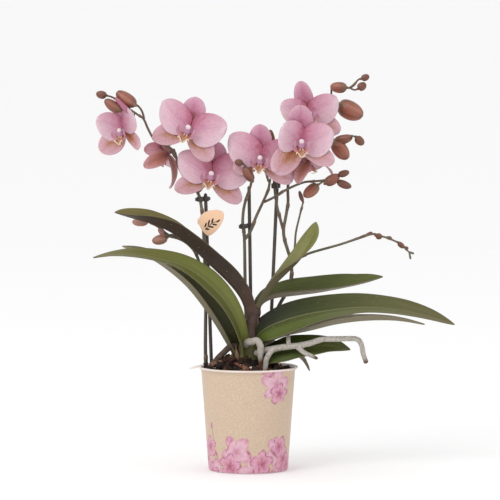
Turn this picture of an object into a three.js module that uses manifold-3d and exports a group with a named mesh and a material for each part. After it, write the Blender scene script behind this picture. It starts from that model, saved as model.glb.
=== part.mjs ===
// A small pink moth orchid in its printed 9 cm nursery pot: thick strap leaves, three flower spikes held to
// plastic stakes by clips, eight open flowers, their buds, silver aerial roots and a bark mix in the pot.
// Millimetres, +Z up. The origin is the centre of the pot's flat base, and the plant is looked at along +Y.

import * as THREE from "three";
import { mergeVertices } from "three/addons/utils/BufferGeometryUtils.js";
import Module from "manifold-3d";

const wasm = await Module();
wasm.setup();
const { Manifold, Mesh: SolidMesh } = wasm;

// ---- Driving dimensions ----

const GAP = 0.35; // air left between two pieces that touch
const POT_HEIGHT = 94;
const POT_RIM_RADIUS = 45;
const POT_TOP_RADIUS = 42.6; // outside, just under the rim
const POT_BASE_RADIUS = 35.8;
const POT_WALL = 1.2;
const POT_FLOOR = 1.6;
const RIM_THICKNESS = 1.4;
const DRAIN_COUNT = 6;
const DRAIN_RADIUS = 3;
const DRAIN_REACH = 23.6; // from the pot's axis to the middle of each drain hole
const BARK_TOP = 90; // the bark mix lies a little under the rim
const STAKE_RADIUS = 1.6;
const LEAF_THICKNESS = 2.2; // at the midrib
const LEAF_EDGE_THICKNESS = 1;
const PETAL_THICKNESS = 0.9;
const BLOOM_BACK = 1.8; // from the middle of a flower to the flat end of its back
const BLOOM_FRONT = 1.5; // from the middle of a flower to the flat front that its lip stands on

// ---- Finishes ----

const finish = (color, roughness) => new THREE.MeshStandardMaterial({ color, roughness, metalness: 0 });
const printedPlastic = finish(0xdcc9b4, 0.5);
const bark = finish(0x5a3c2c, 0.95);
const leafGreen = finish(0x5f6b35, 0.4);
const crownBrown = finish(0x5a4a3a, 0.55);
const stalkOlive = finish(0x5f5a42, 0.55);
const stakeBrown = finish(0x3a302c, 0.45);
const clipBlack = finish(0x25201d, 0.4);
const rootSilver = finish(0xaca69c, 0.8);
const petalPink = finish(0xd6a9bd, 0.6);
const lipCream = finish(0xd9a48c, 0.5);
const tagPeach = finish(0xecc2a0, 0.6);

// ---- Solids ----

const mix = THREE.MathUtils.lerp;
const radians = THREE.MathUtils.degToRad;
const point = ([x, y, z]) => new THREE.Vector3(x, y, z);
const smoothLine = (points) => new THREE.CatmullRomCurve3(points.map(point), false, "catmullrom", 0.5);

// A closed geometry as a solid, with its faces turned outwards.
function solidOf(geometry) {
  const bare = new THREE.BufferGeometry().setAttribute("position", geometry.getAttribute("position"));
  bare.setIndex(geometry.index);
  const merged = mergeVertices(bare, 1e-4);
  const vertProperties = new Float32Array(merged.getAttribute("position").array);
  const triVerts = new Uint32Array(merged.index.array);
  const solid = new Manifold(new SolidMesh({ numProp: 3, vertProperties, triVerts }));
  if (solid.volume() > 0) return solid;
  for (let i = 0; i < triVerts.length; i += 3) {
    [triVerts[i + 1], triVerts[i + 2]] = [triVerts[i + 2], triVerts[i + 1]];
  }
  return new Manifold(new SolidMesh({ numProp: 3, vertProperties, triVerts }));
}

const fuse = (solids) => Manifold.union(solids);

// What is left of a solid beside others, without the scraps that they cut loose.
function clearOf(solid, others) {
  const bodies = others.reduce((left, other) => left.subtract(other), solid).decompose();
  return bodies.reduce((largest, body) => (body.volume() > largest.volume() ? body : largest));
}

function meshOf(name, solid, material) {
  const { vertProperties, triVerts } = solid.getMesh();
  const geometry = new THREE.BufferGeometry();
  geometry.setAttribute("position", new THREE.BufferAttribute(vertProperties, 3));
  geometry.setIndex(new THREE.BufferAttribute(triVerts, 1));
  geometry.computeVertexNormals();
  const mesh = new THREE.Mesh(geometry, material);
  mesh.name = name;
  return mesh;
}

function framesAlong(line, steps) {
  const frames = [];
  let normal = new THREE.Vector3(1, 0, 0);
  if (Math.abs(line.getTangent(0).x) > 0.8) normal = new THREE.Vector3(0, 0, 1);
  for (let i = 0; i <= steps; i++) {
    const tangent = line.getTangent(i / steps);
    normal = normal.clone().addScaledVector(tangent, -normal.dot(tangent)).normalize();
    const binormal = tangent.clone().cross(normal);
    frames.push({ middle: line.getPoint(i / steps), tangent, normal, binormal });
  }
  return frames;
}

// A round rod on a smooth line through the points, with its radii spread evenly along it. `extra` swells it
// all round and past both ends, which is the room that it needs in a neighbour.
function rod(points, radii, { sides = 6, steps = points.length - 1, extra = 0 } = {}) {
  const frames = framesAlong(smoothLine(points), steps);
  const rounded = new THREE.CylinderGeometry(1, 1, 1, sides, steps);
  const position = rounded.getAttribute("position");
  for (let i = 0; i < position.count; i++) {
    const step = Math.round((position.getY(i) + 0.5) * steps);
    const { middle, tangent, normal, binormal } = frames[step];
    const radius = between(radii, step / steps) + extra;
    const past = (step === steps ? extra : 0) - (step === 0 ? extra : 0);
    const moved = middle.clone()
      .addScaledVector(normal, radius * position.getX(i))
      .addScaledVector(binormal, radius * position.getZ(i))
      .addScaledVector(tangent, past);
    position.setXYZ(i, ...moved);
  }
  return solidOf(rounded);
}

// The value at `t`, from 0 to 1, in a list of values spread evenly over that range.
function between(values, t) {
  const place = t * (values.length - 1);
  const first = Math.min(Math.floor(place), values.length - 2);
  return values.length === 1 ? values[0] : mix(values[first], values[first + 1], place - first);
}

// A thin blade on both sides of a surface, which is given for `u` from -1 to 1 across and `v` from 0 to 1
// along. Both faces are split into the same triangles, so that they stay apart where the blade is curved.
function blade(surface, thicknessAt, across, along) {
  const sheet = new THREE.PlaneGeometry(2, 1, across, along);
  const flat = sheet.getAttribute("position");
  const size = flat.count;
  const step = 0.02;
  const positions = [];
  for (const side of [0.5, -0.5]) {
    for (let i = 0; i < size; i++) {
      const [u, v] = [flat.getX(i), flat.getY(i) + 0.5];
      const acrossHere = surface(Math.min(u + step, 1), v).sub(surface(Math.max(u - step, -1), v));
      const alongHere = surface(u, Math.min(v + step, 1)).sub(surface(u, Math.max(v - step, 0)));
      const normal = acrossHere.cross(alongHere).normalize();
      positions.push(...surface(u, v).addScaledVector(normal, side * thicknessAt(u, v)));
    }
  }
  const faces = [];
  const edges = new Set();
  for (let i = 0; i < sheet.index.count; i += 3) {
    const [a, b, c] = sheet.index.array.slice(i, i + 3);
    faces.push(a, b, c, a + size, c + size, b + size);
    for (const [from, to] of [[a, b], [b, c], [c, a]]) edges.add(`${from} ${to}`);
  }
  // The rim is closed along every edge that only one triangle has.
  for (const edge of edges) {
    const [from, to] = edge.split(" ").map(Number);
    if (!edges.has(`${to} ${from}`)) faces.push(to, from, from + size, to, from + size, to + size);
  }
  const geometry = new THREE.BufferGeometry();
  geometry.setAttribute("position", new THREE.Float32BufferAttribute(positions, 3));
  geometry.setIndex(faces);
  return solidOf(geometry);
}

// An upright round solid, turned from a profile of radius and height.
function turned(profile, segments) {
  const shape = new THREE.LatheGeometry(profile.map(([r, z]) => new THREE.Vector2(r, z)), segments);
  shape.rotateX(Math.PI / 2);
  return shape;
}

function uprightCylinder(radius, height, [x, y, z], segments = 10) {
  const shape = new THREE.CylinderGeometry(radius, radius, height, segments);
  shape.rotateX(Math.PI / 2);
  shape.translate(x, y, z);
  return solidOf(shape);
}

// ---- Pot ----

const potRadius = (z) => mix(POT_BASE_RADIUS, POT_TOP_RADIUS, z / POT_HEIGHT);
const potInside = (z) => potRadius(z) - POT_WALL;

function potSolid() {
  const lipHeight = 3; // the wall flares into the rim over this height
  const corner = 2;
  const shell = turned([
    [0, 0],
    [POT_BASE_RADIUS - corner, 0],
    [POT_BASE_RADIUS - 0.5, 0.6],
    [potRadius(corner), corner],
    [potRadius(POT_HEIGHT - lipHeight), POT_HEIGHT - lipHeight],
    [POT_RIM_RADIUS - 0.5, POT_HEIGHT - RIM_THICKNESS],
    [POT_RIM_RADIUS, POT_HEIGHT - RIM_THICKNESS / 2],
    [POT_RIM_RADIUS - 0.5, POT_HEIGHT],
    [potInside(POT_HEIGHT) + 0.3, POT_HEIGHT],
    [potInside(POT_HEIGHT - lipHeight), POT_HEIGHT - lipHeight],
    [potInside(POT_FLOOR), POT_FLOOR],
    [0, POT_FLOOR],
  ], 32);
  let pot = solidOf(shell);
  for (let i = 0; i < DRAIN_COUNT; i++) {
    const turn = (2 * Math.PI * (i + 0.5)) / DRAIN_COUNT;
    const place = [DRAIN_REACH * Math.cos(turn), DRAIN_REACH * Math.sin(turn), 0];
    pot = pot.subtract(uprightCylinder(DRAIN_RADIUS, 4 * POT_FLOOR, place, 8));
  }
  return pot.add(liftTabSolid());
}

// The small ear on the left of the rim, which the pot is lifted out of its tray by. It droops a little.
function liftTabSolid() {
  const tabReach = 9;
  const outline = new THREE.Shape();
  outline.moveTo(2.4, -5);
  outline.lineTo(2.4, 13);
  outline.quadraticCurveTo(-4, 11, -tabReach, 4);
  outline.quadraticCurveTo(-tabReach - 1, 0, -tabReach + 2, -2);
  outline.closePath();
  const tab = new THREE.ExtrudeGeometry(outline, { depth: 0.9, bevelEnabled: false, curveSegments: 4 });
  tab.rotateY(radians(-12));
  tab.translate(-POT_RIM_RADIUS + 0.6, 0, POT_HEIGHT - RIM_THICKNESS + 0.3);
  return solidOf(tab);
}

// ---- Crown: the short stem that the leaves clasp, from inside the bark to the fork of the top leaves ----

const CROWN = [
  [-2, 2, 66], [-2, 1, 84], [-1, 0, 100], [1, -1, 114], [3, -2, 130], [6, -2, 142], [8, -2, 151],
];
const CROWN_RADII = [7, 12, 12, 9, 6.4, 5.4, 3.6];
const crownSolid = (extra = 0) => rod(CROWN, CROWN_RADII, { sides: 12, steps: 8, extra });

// ---- Leaves ----

// Each leaf: its midrib from the crown to the tip, half its greatest width, its foot's width as a share of
// that, how far along it is fully wide, how far its halves fold up in degrees, and the way its top side looks.
const LEAVES = {
  leaf_left_top: {
    midrib: [[3, -3, 126], [-1, -4, 142], [-7, -6, 157], [-18, -8, 171], [-33, -10, 185], [-50, -11, 198.5],
      [-68, -12, 211], [-87, -13, 222], [-104, -14, 229], [-120, -14, 234]],
    half: 18, foot: 0.5, full: 0.55, fold: [62, 60, 50, 30],
    looks: [[0.85, 0.1, 0.5], [0.55, 0.3, 0.78], [0.3, 0, 0.95], [0.1, -0.4, 0.9]],
  },
  leaf_left_front: {
    midrib: [[-3, -9, 106], [-6, -14, 120], [-11, -19, 136], [-19, -23, 151], [-30, -26, 164.5],
      [-44, -28, 177],
      [-61, -29, 187], [-81, -30, 193], [-102, -30, 196.5], [-121, -29, 196.5], [-139, -27, 194]],
    half: 16.5, foot: 0.45, full: 0.5, fold: [26, 24, 18, 12],
    looks: [[0.75, -0.6, 0.25], [0.5, -0.6, 0.7], [0.2, -0.35, 0.9], [0, -0.2, 0.95]],
  },
  leaf_left_low: {
    midrib: [[-9, -1, 98], [-17, -4, 112], [-28, -7, 131], [-41, -8, 150], [-56, -7, 168], [-74, -4, 183],
      [-94, 2, 195], [-114, 7, 202]],
    half: 18, foot: 0.5, full: 0.5, fold: [40, 36, 26],
    looks: [[0.7, -0.3, 0.62], [0.5, -0.1, 0.8], [0.25, -0.1, 0.95]],
  },
  leaf_right_top: {
    midrib: [[9, -1, 146], [14, 1, 152], [24, 4, 156], [42, 8, 158], [64, 11, 160.5], [88, 12, 165],
      [106, 12, 169],
      [122, 12, 174]],
    half: 17, foot: 0.4, full: 0.6, looks: [[-0.4, -0.2, 0.9], [0, -0.38, 0.95]], fold: [42, 32, 24],
  },
  leaf_right_front: {
    midrib: [[4, -6, 114], [11, -10, 125], [24, -15, 133], [46, -20, 140.5], [73, -25, 146], [103, -28, 149],
      [133, -30, 147], [160, -30, 141.5], [185, -29, 134]],
    half: 22, foot: 0.5, full: 0.45, looks: [[-0.4, -0.5, 0.76], [0.1, -0.32, 0.94]], fold: [30, 22, 12],
  },
  leaf_right_low: {
    midrib: [[8, 0, 108], [18, 1, 116], [34, 3, 122], [56, 5, 126.5], [80, 7, 132], [106, 8, 135],
      [134, 8, 135],
      [160, 8, 131]],
    half: 14, foot: 0.5, full: 0.5, looks: [[-0.3, -0.35, 0.88], [0.05, 0.2, 0.97]], fold: [34, 30, 24],
  },
  leaf_right_short: {
    midrib: [[7, -7, 97], [17, -9, 104], [33, -11, 109], [52, -12, 112], [72, -12, 113], [92, -12, 110]],
    half: 16, foot: 0.45, full: 0.5, looks: [[-0.2, -0.55, 0.8], [0, -0.5, 0.86]], fold: [26, 18, 10],
  },
  leaf_right_back: {
    midrib: [[6, 7, 103], [14, 11, 109], [24, 15, 111], [36, 21, 107], [46, 29, 99], [53, 35, 90],
      [56, 38, 80]],
    half: 9, foot: 0.6, full: 0.5, looks: [[-0.3, -0.3, 0.9], [0.3, 0, 0.9],
      [0.75, 0.15, 0.65]], fold: [30, 22, 14],
  },
  leaf_young: {
    midrib: [[9, -5, 147], [15, -8, 157], [24, -10, 169], [35, -10, 180], [45, -10, 190], [52.5, -9, 201],
      [58, -8, 213], [61, -7, 225]],
    half: 9.5, foot: 0.36, full: 0.8, looks: [[-0.7, 0, 0.7], [-0.6, -0.4, 0.6], [-0.35, -0.9, 0.2]],
    fold: [70, 62, 36, 10],
  },
};

// Half the width of a leaf at `v` along it, as a share of the greatest: a narrow foot and a blunt tip.
function leafOutline(v, foot, full) {
  const swell = mix(foot, 1, THREE.MathUtils.smoothstep(v, 0, full));
  return swell * Math.max(0.06, Math.pow(1 - Math.pow(v, 4.5), 0.72));
}

function leafSolid({ midrib, half, foot, full, looks, fold }, extra = 0) {
  const line = smoothLine(midrib);
  const facing = smoothLine(looks);
  const surface = (u, v) => {
    const side = line.getTangent(v).cross(facing.getPoint(v)).normalize();
    const up = side.clone().cross(line.getTangent(v));
    const reach = half * leafOutline(v, foot, full) + extra;
    const angle = radians(between(fold, v));
    return line.getPoint(v)
      .addScaledVector(side, reach * u * Math.cos(angle))
      .addScaledVector(up, reach * Math.abs(u) * Math.sin(angle));
  };
  const thicknessAt = (u, v) => {
    const thickness = mix(LEAF_THICKNESS, LEAF_EDGE_THICKNESS, Math.abs(u));
    return thickness * mix(1, 0.6, v) + 2 * extra;
  };
  return blade(surface, thicknessAt, 4, 9);
}

// ---- Open flowers ----

// Each flower: its middle, the way it looks, how far it leans to its right in degrees, its size, and how far
// its petals curl forward by their tips, in degrees.
const BLOOMS = {
  bloom_left_top: { middle: [-52.5, -9, 308.5], looks: [-0.2, -0.96, 0.12], lean: 20, size: 0.97, curl: -8 },
  bloom_left_low: { middle: [-33, 1.5, 266.5], looks: [-0.05, -0.98, 0.12], lean: 11, size: 0.97, curl: -8 },
  bloom_left_tip: { middle: [-112, 4, 306.5], looks: [-0.74, -0.66, 0.03], lean: 3, size: 0.85, curl: 24 },
  bloom_left_back: { middle: [-73, 15, 285], looks: [-0.5, 0.3, -0.81], lean: 30, size: 0.74, curl: 95 },
  bloom_middle: { middle: [11.5, -10, 281.5], looks: [-0.12, -0.97, 0.08], lean: 4, size: 0.94, curl: -8 },
  bloom_right_front: { middle: [47, -22, 296.5], looks: [0.1, -0.98, 0.08], lean: 1, size: 0.94, curl: 44 },
  bloom_right_top: { middle: [54.5, 9, 320], looks: [0.12, -0.97, 0.2], lean: -8, size: 0.84, curl: 14 },
  bloom_right_under: { middle: [54.5, -1, 279], looks: [0.1, 0.25, -0.96], lean: 20, size: 0.7, curl: 95 },
};

// The five petals of a flower: how far each is turned from the top, its length and width, how far in front of
// the flower's middle it starts, and its share of the flower's curl. The two broad ones lie in front.
const TEPALS = [
  { turn: 0, length: 31, width: 21, start: 0, share: 0.5, front: false },
  { turn: 122, length: 34, width: 18, start: 0, share: 0.7, front: false },
  { turn: -122, length: 34, width: 18, start: 0, share: 0.7, front: false },
  { turn: 70, length: 34, width: 31, start: 1, share: 1, front: true },
  { turn: -70, length: 34, width: 31, start: 1, share: 1, front: true },
];
const CLAW_REACH = 1; // the petals start this far out from the flower's axis, inside its middle

// Half the width of a petal at `v` along it, as a share of the greatest: a narrow claw and a round end.
function petalOutline(v, front) {
  const [middle, roundness] = front ? [1.1, 0.66] : [1, 0.62];
  return Math.max(Math.sin(Math.PI * v ** middle), 0.05) ** roundness;
}

function tepalSolid({ turn, length, width, start, share, front }, { size, curl }) {
  const out = new THREE.Vector3(Math.sin(radians(turn)), Math.cos(radians(turn)), 0);
  const side = new THREE.Vector3(out.y, -out.x, 0);
  const forward = new THREE.Vector3(0, 0, 1);
  const bend = radians(curl * share);
  const surface = (u, v) => {
    const belly = (front ? 1.4 : -0.6) * Math.sin(Math.PI * v);
    const arch = -2.2 * u * u * v;
    const inFront = start + belly + arch;
    return new THREE.Vector3()
      .addScaledVector(out, CLAW_REACH + (length / bend - inFront) * Math.sin(bend * v))
      .addScaledVector(forward, (length * (1 - Math.cos(bend * v))) / bend + inFront * Math.cos(bend * v))
      .addScaledVector(side, (width / 2) * u * petalOutline(v, front))
      .multiplyScalar(size);
  };
  return blade(surface, () => PETAL_THICKNESS, 2, front ? 5 : 4);
}

function petalsSolid(bloom) {
  const middle = new THREE.CylinderGeometry(2.7, 2, BLOOM_BACK + BLOOM_FRONT, 5);
  middle.rotateX(Math.PI / 2);
  middle.translate(0, 0, (BLOOM_FRONT - BLOOM_BACK) / 2);
  return fuse([...TEPALS.map((tepal) => tepalSolid(tepal, bloom)), solidOf(middle)]);
}

// The column, and the lip under it: two lobes stand up beside the column, and the middle one points down and
// forward and ends in two horns.
function lipSolid({ size }) {
  const foot = (BLOOM_FRONT + 2 * GAP) / size;
  const column = rod([[0, 0, foot], [0, 0.6, foot + 6.8]], [1.7, 2.4], { sides: 5 });
  const sideLobe = (way) => blade((u, v) => new THREE.Vector3(
    way * (1 + 3.8 * Math.sin(1.4 * v)),
    -0.6 + 4.2 * v * v,
    foot + 3.4 + 1.6 * v + (1.3 + 1.6 * v) * u,
  ), () => PETAL_THICKNESS, 1, 2);
  const middleLobe = blade((u, v) => new THREE.Vector3(
    u * mix(1.2, 4.4, Math.sin(2.6 * v)),
    -0.6 - 9 * v + v * u * u * (1 - 3.4 * v),
    foot + 2 + 8 * v - 3.5 * v * v + 2.6 * u * u * v ** 4,
  ), () => PETAL_THICKNESS + 0.3, 2, 3);
  return fuse([column, sideLobe(1), sideLobe(-1), middleLobe]).scale([size, size, size]);
}

// A flower's own +Z is the way it looks and its own +Y points to its top petal.
function bloomFrame({ middle, looks, lean }) {
  const out = point(looks).normalize();
  const up = new THREE.Vector3(0, 0, 1).addScaledVector(out, -out.z).normalize();
  up.applyAxisAngle(out, -radians(lean));
  return new THREE.Matrix4().makeBasis(up.clone().cross(out), up, out).setPosition(point(middle));
}

function bloomGroup(name, bloom) {
  const group = new THREE.Group();
  group.applyMatrix4(bloomFrame(bloom));
  group.add(meshOf(name, petalsSolid(bloom), petalPink));
  group.add(meshOf(name.replace("bloom", "lip"), lipSolid(bloom), lipCream));
  return group;
}

// ---- Flower spikes, each with its side branches, its buds and the stalks of its open flowers ----

const SPIKES = {
  spike_left: {
    stalk: [[-35, 9, 72], [-37.4, 9.3, 88], [-38.7, 9, 104], [-38.6, 8.5, 131], [-38.3, 8, 154],
      [-39, 8, 180],
      [-40, 8, 208], [-41.2, 8, 228], [-42.7, 8, 240], [-44.5, 8, 248], [-50, 10, 256], [-57.5, 13, 264],
      [-63, 13.5, 274],
      [-66, 12.5, 285], [-71, 11, 291], [-79, 8, 295], [-85, 3, 299], [-90, 1, 308], [-94, -1, 317],
      [-99, -4, 321], [-106, -7, 326],
      [-114, -8, 332], [-122, -8, 337]],
    radii: [1.7, 1.3, 0.8],
    branches: [
      { points: [[-38.7, 8, 171], [-43, 9, 184], [-48, 10, 196], [-55, 10, 204], [-63, 10, 208.5],
        [-71, 9, 210.5]],
        radii: [1.3, 1] },
      { points: [[-67, 9, 209], [-75, 9, 214], [-80, 9, 219], [-87, 9, 222]], radii: [1.3, 1] },
      { points: [[-73, 9, 212], [-77, 9, 216], [-79, 9, 219], [-78, 8, 222]], radii: [1.7, 1.2] },
      { points: [[-93, -1, 315], [-95, -1, 323], [-98, -2, 328], [-102, -2, 331]], radii: [1, 0.9] },
      { points: [[-64.5, 12, 281], [-67, 12.5, 285], [-69.5, 12, 289]], radii: [1.5, 1.8, 1.2] },
    ],
    buds: [
      { from: [-121, -8, 336], to: [-132, -9, 340], width: 8 },
      { from: [-110, -9, 329], to: [-126, -15, 334], width: 11 },
      { from: [-100, -4, 328], to: [-117, -12, 342], width: 14 },
      { from: [-106.5, -8, 326.5], to: [-120, -11, 336], width: 8 },
      { from: [-69, 9, 210], to: [-83, 8, 205], width: 10 },
      { from: [-86, 9, 222], to: [-97, 9, 222], width: 8 },
    ],
    blooms: [
      { from: [-65, 13, 281], carries: "bloom_left_top" },
      { from: [-46, 8.5, 249], carries: "bloom_left_low" },
      { from: [-102, -5, 323], carries: "bloom_left_tip" },
      { from: [-69, 11, 289], carries: "bloom_left_back" },
    ],
  },
  spike_middle: {
    stalk: [[1, 17, 74], [0.5, 17.6, 90], [0, 18.5, 106], [-1.5, 18.5, 128], [-2.5, 18, 152], [-3, 17, 180],
      [-3.5, 16, 209], [-5, 14, 222], [-4, 9, 236], [-1, 2, 248], [2, -7, 257], [3, -14, 265], [0, -16, 272],
      [-5, -17, 278], [-8, -17, 279]],
    radii: [1.7, 1.4, 0.9],
    branches: [
      { points: [[-3.5, 16, 207], [2, 14.5, 215], [7, 13, 228], [13, 12, 241], [18, 8, 253], [20, 4, 264]],
        radii: [1.5, 1.1] },
      { points: [[13, 12, 241], [23, 10, 246], [36, 6, 254], [50, 2, 260], [60, 0, 261], [72, -2, 263],
        [83, -3, 268]],
        radii: [1.2, 0.9] },
      { points: [[71, -2, 263], [77, -2, 261.5], [82, -2, 260]], radii: [1, 1] },
      { points: [[71, -2, 263], [66, -1, 260], [61, 0, 256.5]], radii: [0.9, 0.9] },
    ],
    buds: [
      { from: [-5, -17, 278], to: [-12, -18, 280], width: 6.5 },
      { from: [4, -14, 262], to: [-4, -17, 275], width: 9 },
      { from: [69, -2, 259], to: [82, -3, 267], width: 10 },
      { from: [81, -3, 267], to: [91, -3, 270], width: 6.5 },
      { from: [80, -2, 261], to: [93, -2, 256], width: 7.5 },
      { from: [63, 0, 258], to: [50, 1, 247], width: 11 },
    ],
    blooms: [{ from: [19, 6, 258], carries: "bloom_middle" }],
  },
  spike_right: {
    stalk: [[15, 20.5, 74], [15, 21, 90], [15, 21.5, 104], [16, 22, 118], [22, 22, 134], [29, 21, 149],
      [36, 20, 161],
      [39, 19, 172], [39, 18, 186], [36, 18, 197], [33, 18, 207], [32, 18, 216], [34, 17, 228], [36, 16, 241],
      [36, 17, 256], [40, 20, 270], [45, 22, 287], [53, 25, 304], [64, 27, 320], [72, 26, 332], [75, 22, 339],
      [75, 18, 344]],
    radii: [1.8, 1.5, 0.9],
    branches: [
      { points: [[32, 18, 215], [29, 18, 226], [26, 17.5, 238], [24, 18, 252], [23, 20, 270], [22, 24, 288]],
        radii: [1.4, 1] },
      { points: [[39, 18, 185], [42, 16, 195], [43, 14, 213], [47, 13, 231],
        [50, 12, 243]], radii: [1.1, 0.8] },
      { points: [[39, 18, 183], [47, 14, 191], [57, 10, 196], [84, 6, 204], [110, 2, 213], [118, 1, 212],
        [128, 0, 209], [138, 0, 204], [142, 0, 200], [148, 0, 195]], radii: [1.3, 0.7] },
      { points: [[75, 19, 343], [82, 17, 345], [92, 14, 345], [99, 10, 352],
        [103, 9, 354]], radii: [1, 0.8] },
      { points: [[91, 14, 345], [96, 12, 343], [101, 11, 345]], radii: [0.9, 0.8] },
      { points: [[68, 27, 326], [74, 27, 330], [84, 24, 330]], radii: [1.1, 1] },
      { points: [[49, 23.5, 295.5], [60, 23, 298], [72, 17, 298], [80, 10, 298]], radii: [1.3, 1.2] },
      { points: [[88, 6, 300], [93, 4, 302], [98, 3, 300]], radii: [1, 0.8] },
    ],
    buds: [
      { from: [22, 24, 286], to: [20, 22, 307], width: 8 },
      { from: [89, 15, 345], to: [74, 19, 346], width: 10.5 },
      { from: [102, 9, 353], to: [109, 8, 356], width: 6.5 },
      { from: [99, 11, 344], to: [106, 10, 349], width: 8 },
      { from: [81, 24, 331], to: [104, 21, 319], width: 17 },
      { from: [78, 10, 297], to: [94, 4, 301], width: 9 },
      { from: [97, 3, 301], to: [104, 2, 294], width: 8 },
      { from: [77, 11, 297], to: [90, 5, 281], width: 14 },
      { from: [115, 1, 212], to: [121, 1, 211], width: 6 },
      { from: [135, 0, 206], to: [141, 0, 201], width: 5 },
      { from: [49.5, 12, 242], to: [46, 11, 252], width: 4 },
    ],
    blooms: [
      { from: [41, 21, 274], carries: "bloom_right_front" },
      { from: [55, 24, 307], carries: "bloom_right_top" },
      { from: [45, 22, 287], carries: "bloom_right_under" },
    ],
  },
};

// A pointed egg, round at its foot and fullest past its middle.
function budSolid({ from, to, width }) {
  const axis = point(to).sub(point(from));
  const outline = [[0, 0], [0.86, 0.22], [0.94, 0.66], [0, 1]];
  const shape = turned(outline.map(([r, h]) => [(r * width) / 2, h * axis.length()]), 7);
  const upright = new THREE.Vector3(0, 0, 1);
  shape.applyQuaternion(new THREE.Quaternion().setFromUnitVectors(upright, axis.normalize()));
  shape.translate(...from);
  return solidOf(shape);
}

// The stalk of one open flower, which meets the flower's back squarely.
function flowerStalkSolid({ from, carries }) {
  const frame = bloomFrame(BLOOMS[carries]);
  const behind = (distance) => new THREE.Vector3(0, 0, -distance).applyMatrix4(frame);
  const points = [from, [...behind(8)], [...behind(BLOOM_BACK + GAP)]];
  return rod(points, [1.1, 1.1, 1.5], { sides: 4, steps: 3 });
}

const spikeSolid = ({ stalk, radii, branches, buds, blooms }) => fuse([
  rod(stalk, radii, { sides: 5 }),
  ...branches.map((branch) => rod(branch.points, branch.radii, { sides: 4 })),
  ...buds.map(budSolid),
  ...blooms.map(flowerStalkSolid),
]);

// ---- Stakes, the clips that hold the stalks to them, and the peach card tag ----

const STAKES = {
  stake_left: [[-30.6, 14, 14], [-38.7, 14, 250]],
  stake_middle: [[4.3, 27, 14], [0.7, 23, 256]],
  stake_right: [[15.6, 28, 14], [26.9, 25, 272]],
};
const stakeSolid = (ends, extra = 0) => rod(ends, [STAKE_RADIUS], { sides: 8, steps: 1, extra });

// Where a stake and a stalk pass through the two loops of each clip.
const CLIPS = {
  clip_left: { stake: [-38.5, 14, 244.5], stalk: [-43.6, 8, 244.5] },
  clip_middle: { stake: [1.3, 23.6, 219.5], stalk: [-4.8, 14.4, 219.5] },
  clip_right: { stake: [26.3, 25.1, 256], stalk: [23.8, 18.3, 256] },
};

// Two loops joined by a bar, with a finger grip past each.
function clipMesh(name, { stake, stalk }) {
  const height = 4.4;
  const across = point(stalk).sub(point(stake));
  const reach = across.length();
  const loops = (radius, tall) => [0, reach].map((x) => uprightCylinder(radius, tall, [x, 0, 0], 10));
  const bar = (length, thick, tall, x) =>
    solidOf(new THREE.BoxGeometry(length, thick, tall).translate(x, 0, 0));
  const grips = [-4, reach + 4].map((x) => bar(4, 1.6, 3, x));
  const body = fuse([...loops(3, height), bar(reach, 2.6, height, reach / 2), ...grips]);
  const mesh = meshOf(name, clearOf(body, loops(2.1, 2 * height)), clipBlack);
  mesh.position.set(...stake);
  mesh.rotation.z = Math.atan2(across.y, across.x);
  return mesh;
}

// An egg-shaped card with a band on its back that goes round the left stake and its stalk.
function tagMesh() {
  const outline = new THREE.Shape();
  outline.moveTo(-4, -12);
  outline.bezierCurveTo(-8, -9, -11.5, -4, -11.5, 1);
  outline.bezierCurveTo(-11, 7, -5, 10.5, 2, 11);
  outline.bezierCurveTo(8, 11.5, 12, 10, 11.5, 5);
  outline.bezierCurveTo(10.5, -2, 4, -10, -1, -12);
  outline.bezierCurveTo(-2, -12.6, -3, -12.6, -4, -12);
  const card = new THREE.ExtrudeGeometry(outline, { depth: 0.8, bevelEnabled: false, curveSegments: 4 });
  card.rotateX(Math.PI / 2);
  card.translate(0, 5, 0);
  const [bandX, bandY, bandHeight] = [-6, 11, 5];
  const band = uprightCylinder(6.6, bandHeight, [bandX, bandY, 0], 14);
  const bore = uprightCylinder(5.6, 2 * bandHeight, [bandX, bandY, 0], 14);
  const mesh = meshOf("tag", solidOf(card).add(band).subtract(bore), tagPeach);
  mesh.position.set(-33.3, 0, 224);
  return mesh;
}

// ---- Aerial roots ----

const ROOTS = {
  root_thick: [
    { points: [[-2, -10, 113], [-1, -16, 117], [3, -20, 118], [8, -22, 119], [11, -23, 114], [11, -22, 106],
      [11.5, -19, 97], [12, -17, 86]], radii: [2.9, 2.8, 1.9] },
  ],
  root_long: [
    { points: [[6, -11, 106], [15, -18, 110], [29, -24, 113], [44, -27, 115], [54, -29, 117], [66, -31, 121],
      [80, -32, 121.5], [96, -32, 121.5], [101, -31, 117], [103, -30, 108],
      [106, -29, 99]], radii: [2.6, 2.3, 1.8] },
    { points: [[43, -27, 115], [50, -29, 109], [57, -30, 106], [63, -31, 104]], radii: [2.3, 1.5] },
    { points: [[30, -24, 113], [22, -25, 111], [17, -25, 104], [15.5, -24, 96], [15, -23, 86]],
      radii: [2.4, 1.9] },
    { points: [[37, -26, 114], [36, -24, 119], [36, -20, 124]], radii: [1.9, 1.5] },
  ],
  root_left: [
    { points: [[-9, -3, 112], [-16, -5, 112], [-23, -7, 106], [-29, -8, 100], [-34, -8, 93], [-35, -7, 84]],
      radii: [2.6, 2.2] },
  ],
};
const rootSolid = (runs, extra = 0) =>
  fuse(runs.map(({ points, radii }) => rod(points, radii, { sides: 6, extra })));

// ---- Bark mix ----

// Numbers from 0 to 1, the same each run.
function randomNumbers(seed) {
  let state = seed;
  return () => {
    state = (state * 1664525 + 1013904223) % 4294967296;
    return state / 4294967296;
  };
}

// The height of the bark's surface: level at the wall, with a low mound round the crown.
const barkHeight = (x, y) => BARK_TOP + 6 * Math.exp(-((x + 8) ** 2 + y ** 2) / 420);

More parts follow.
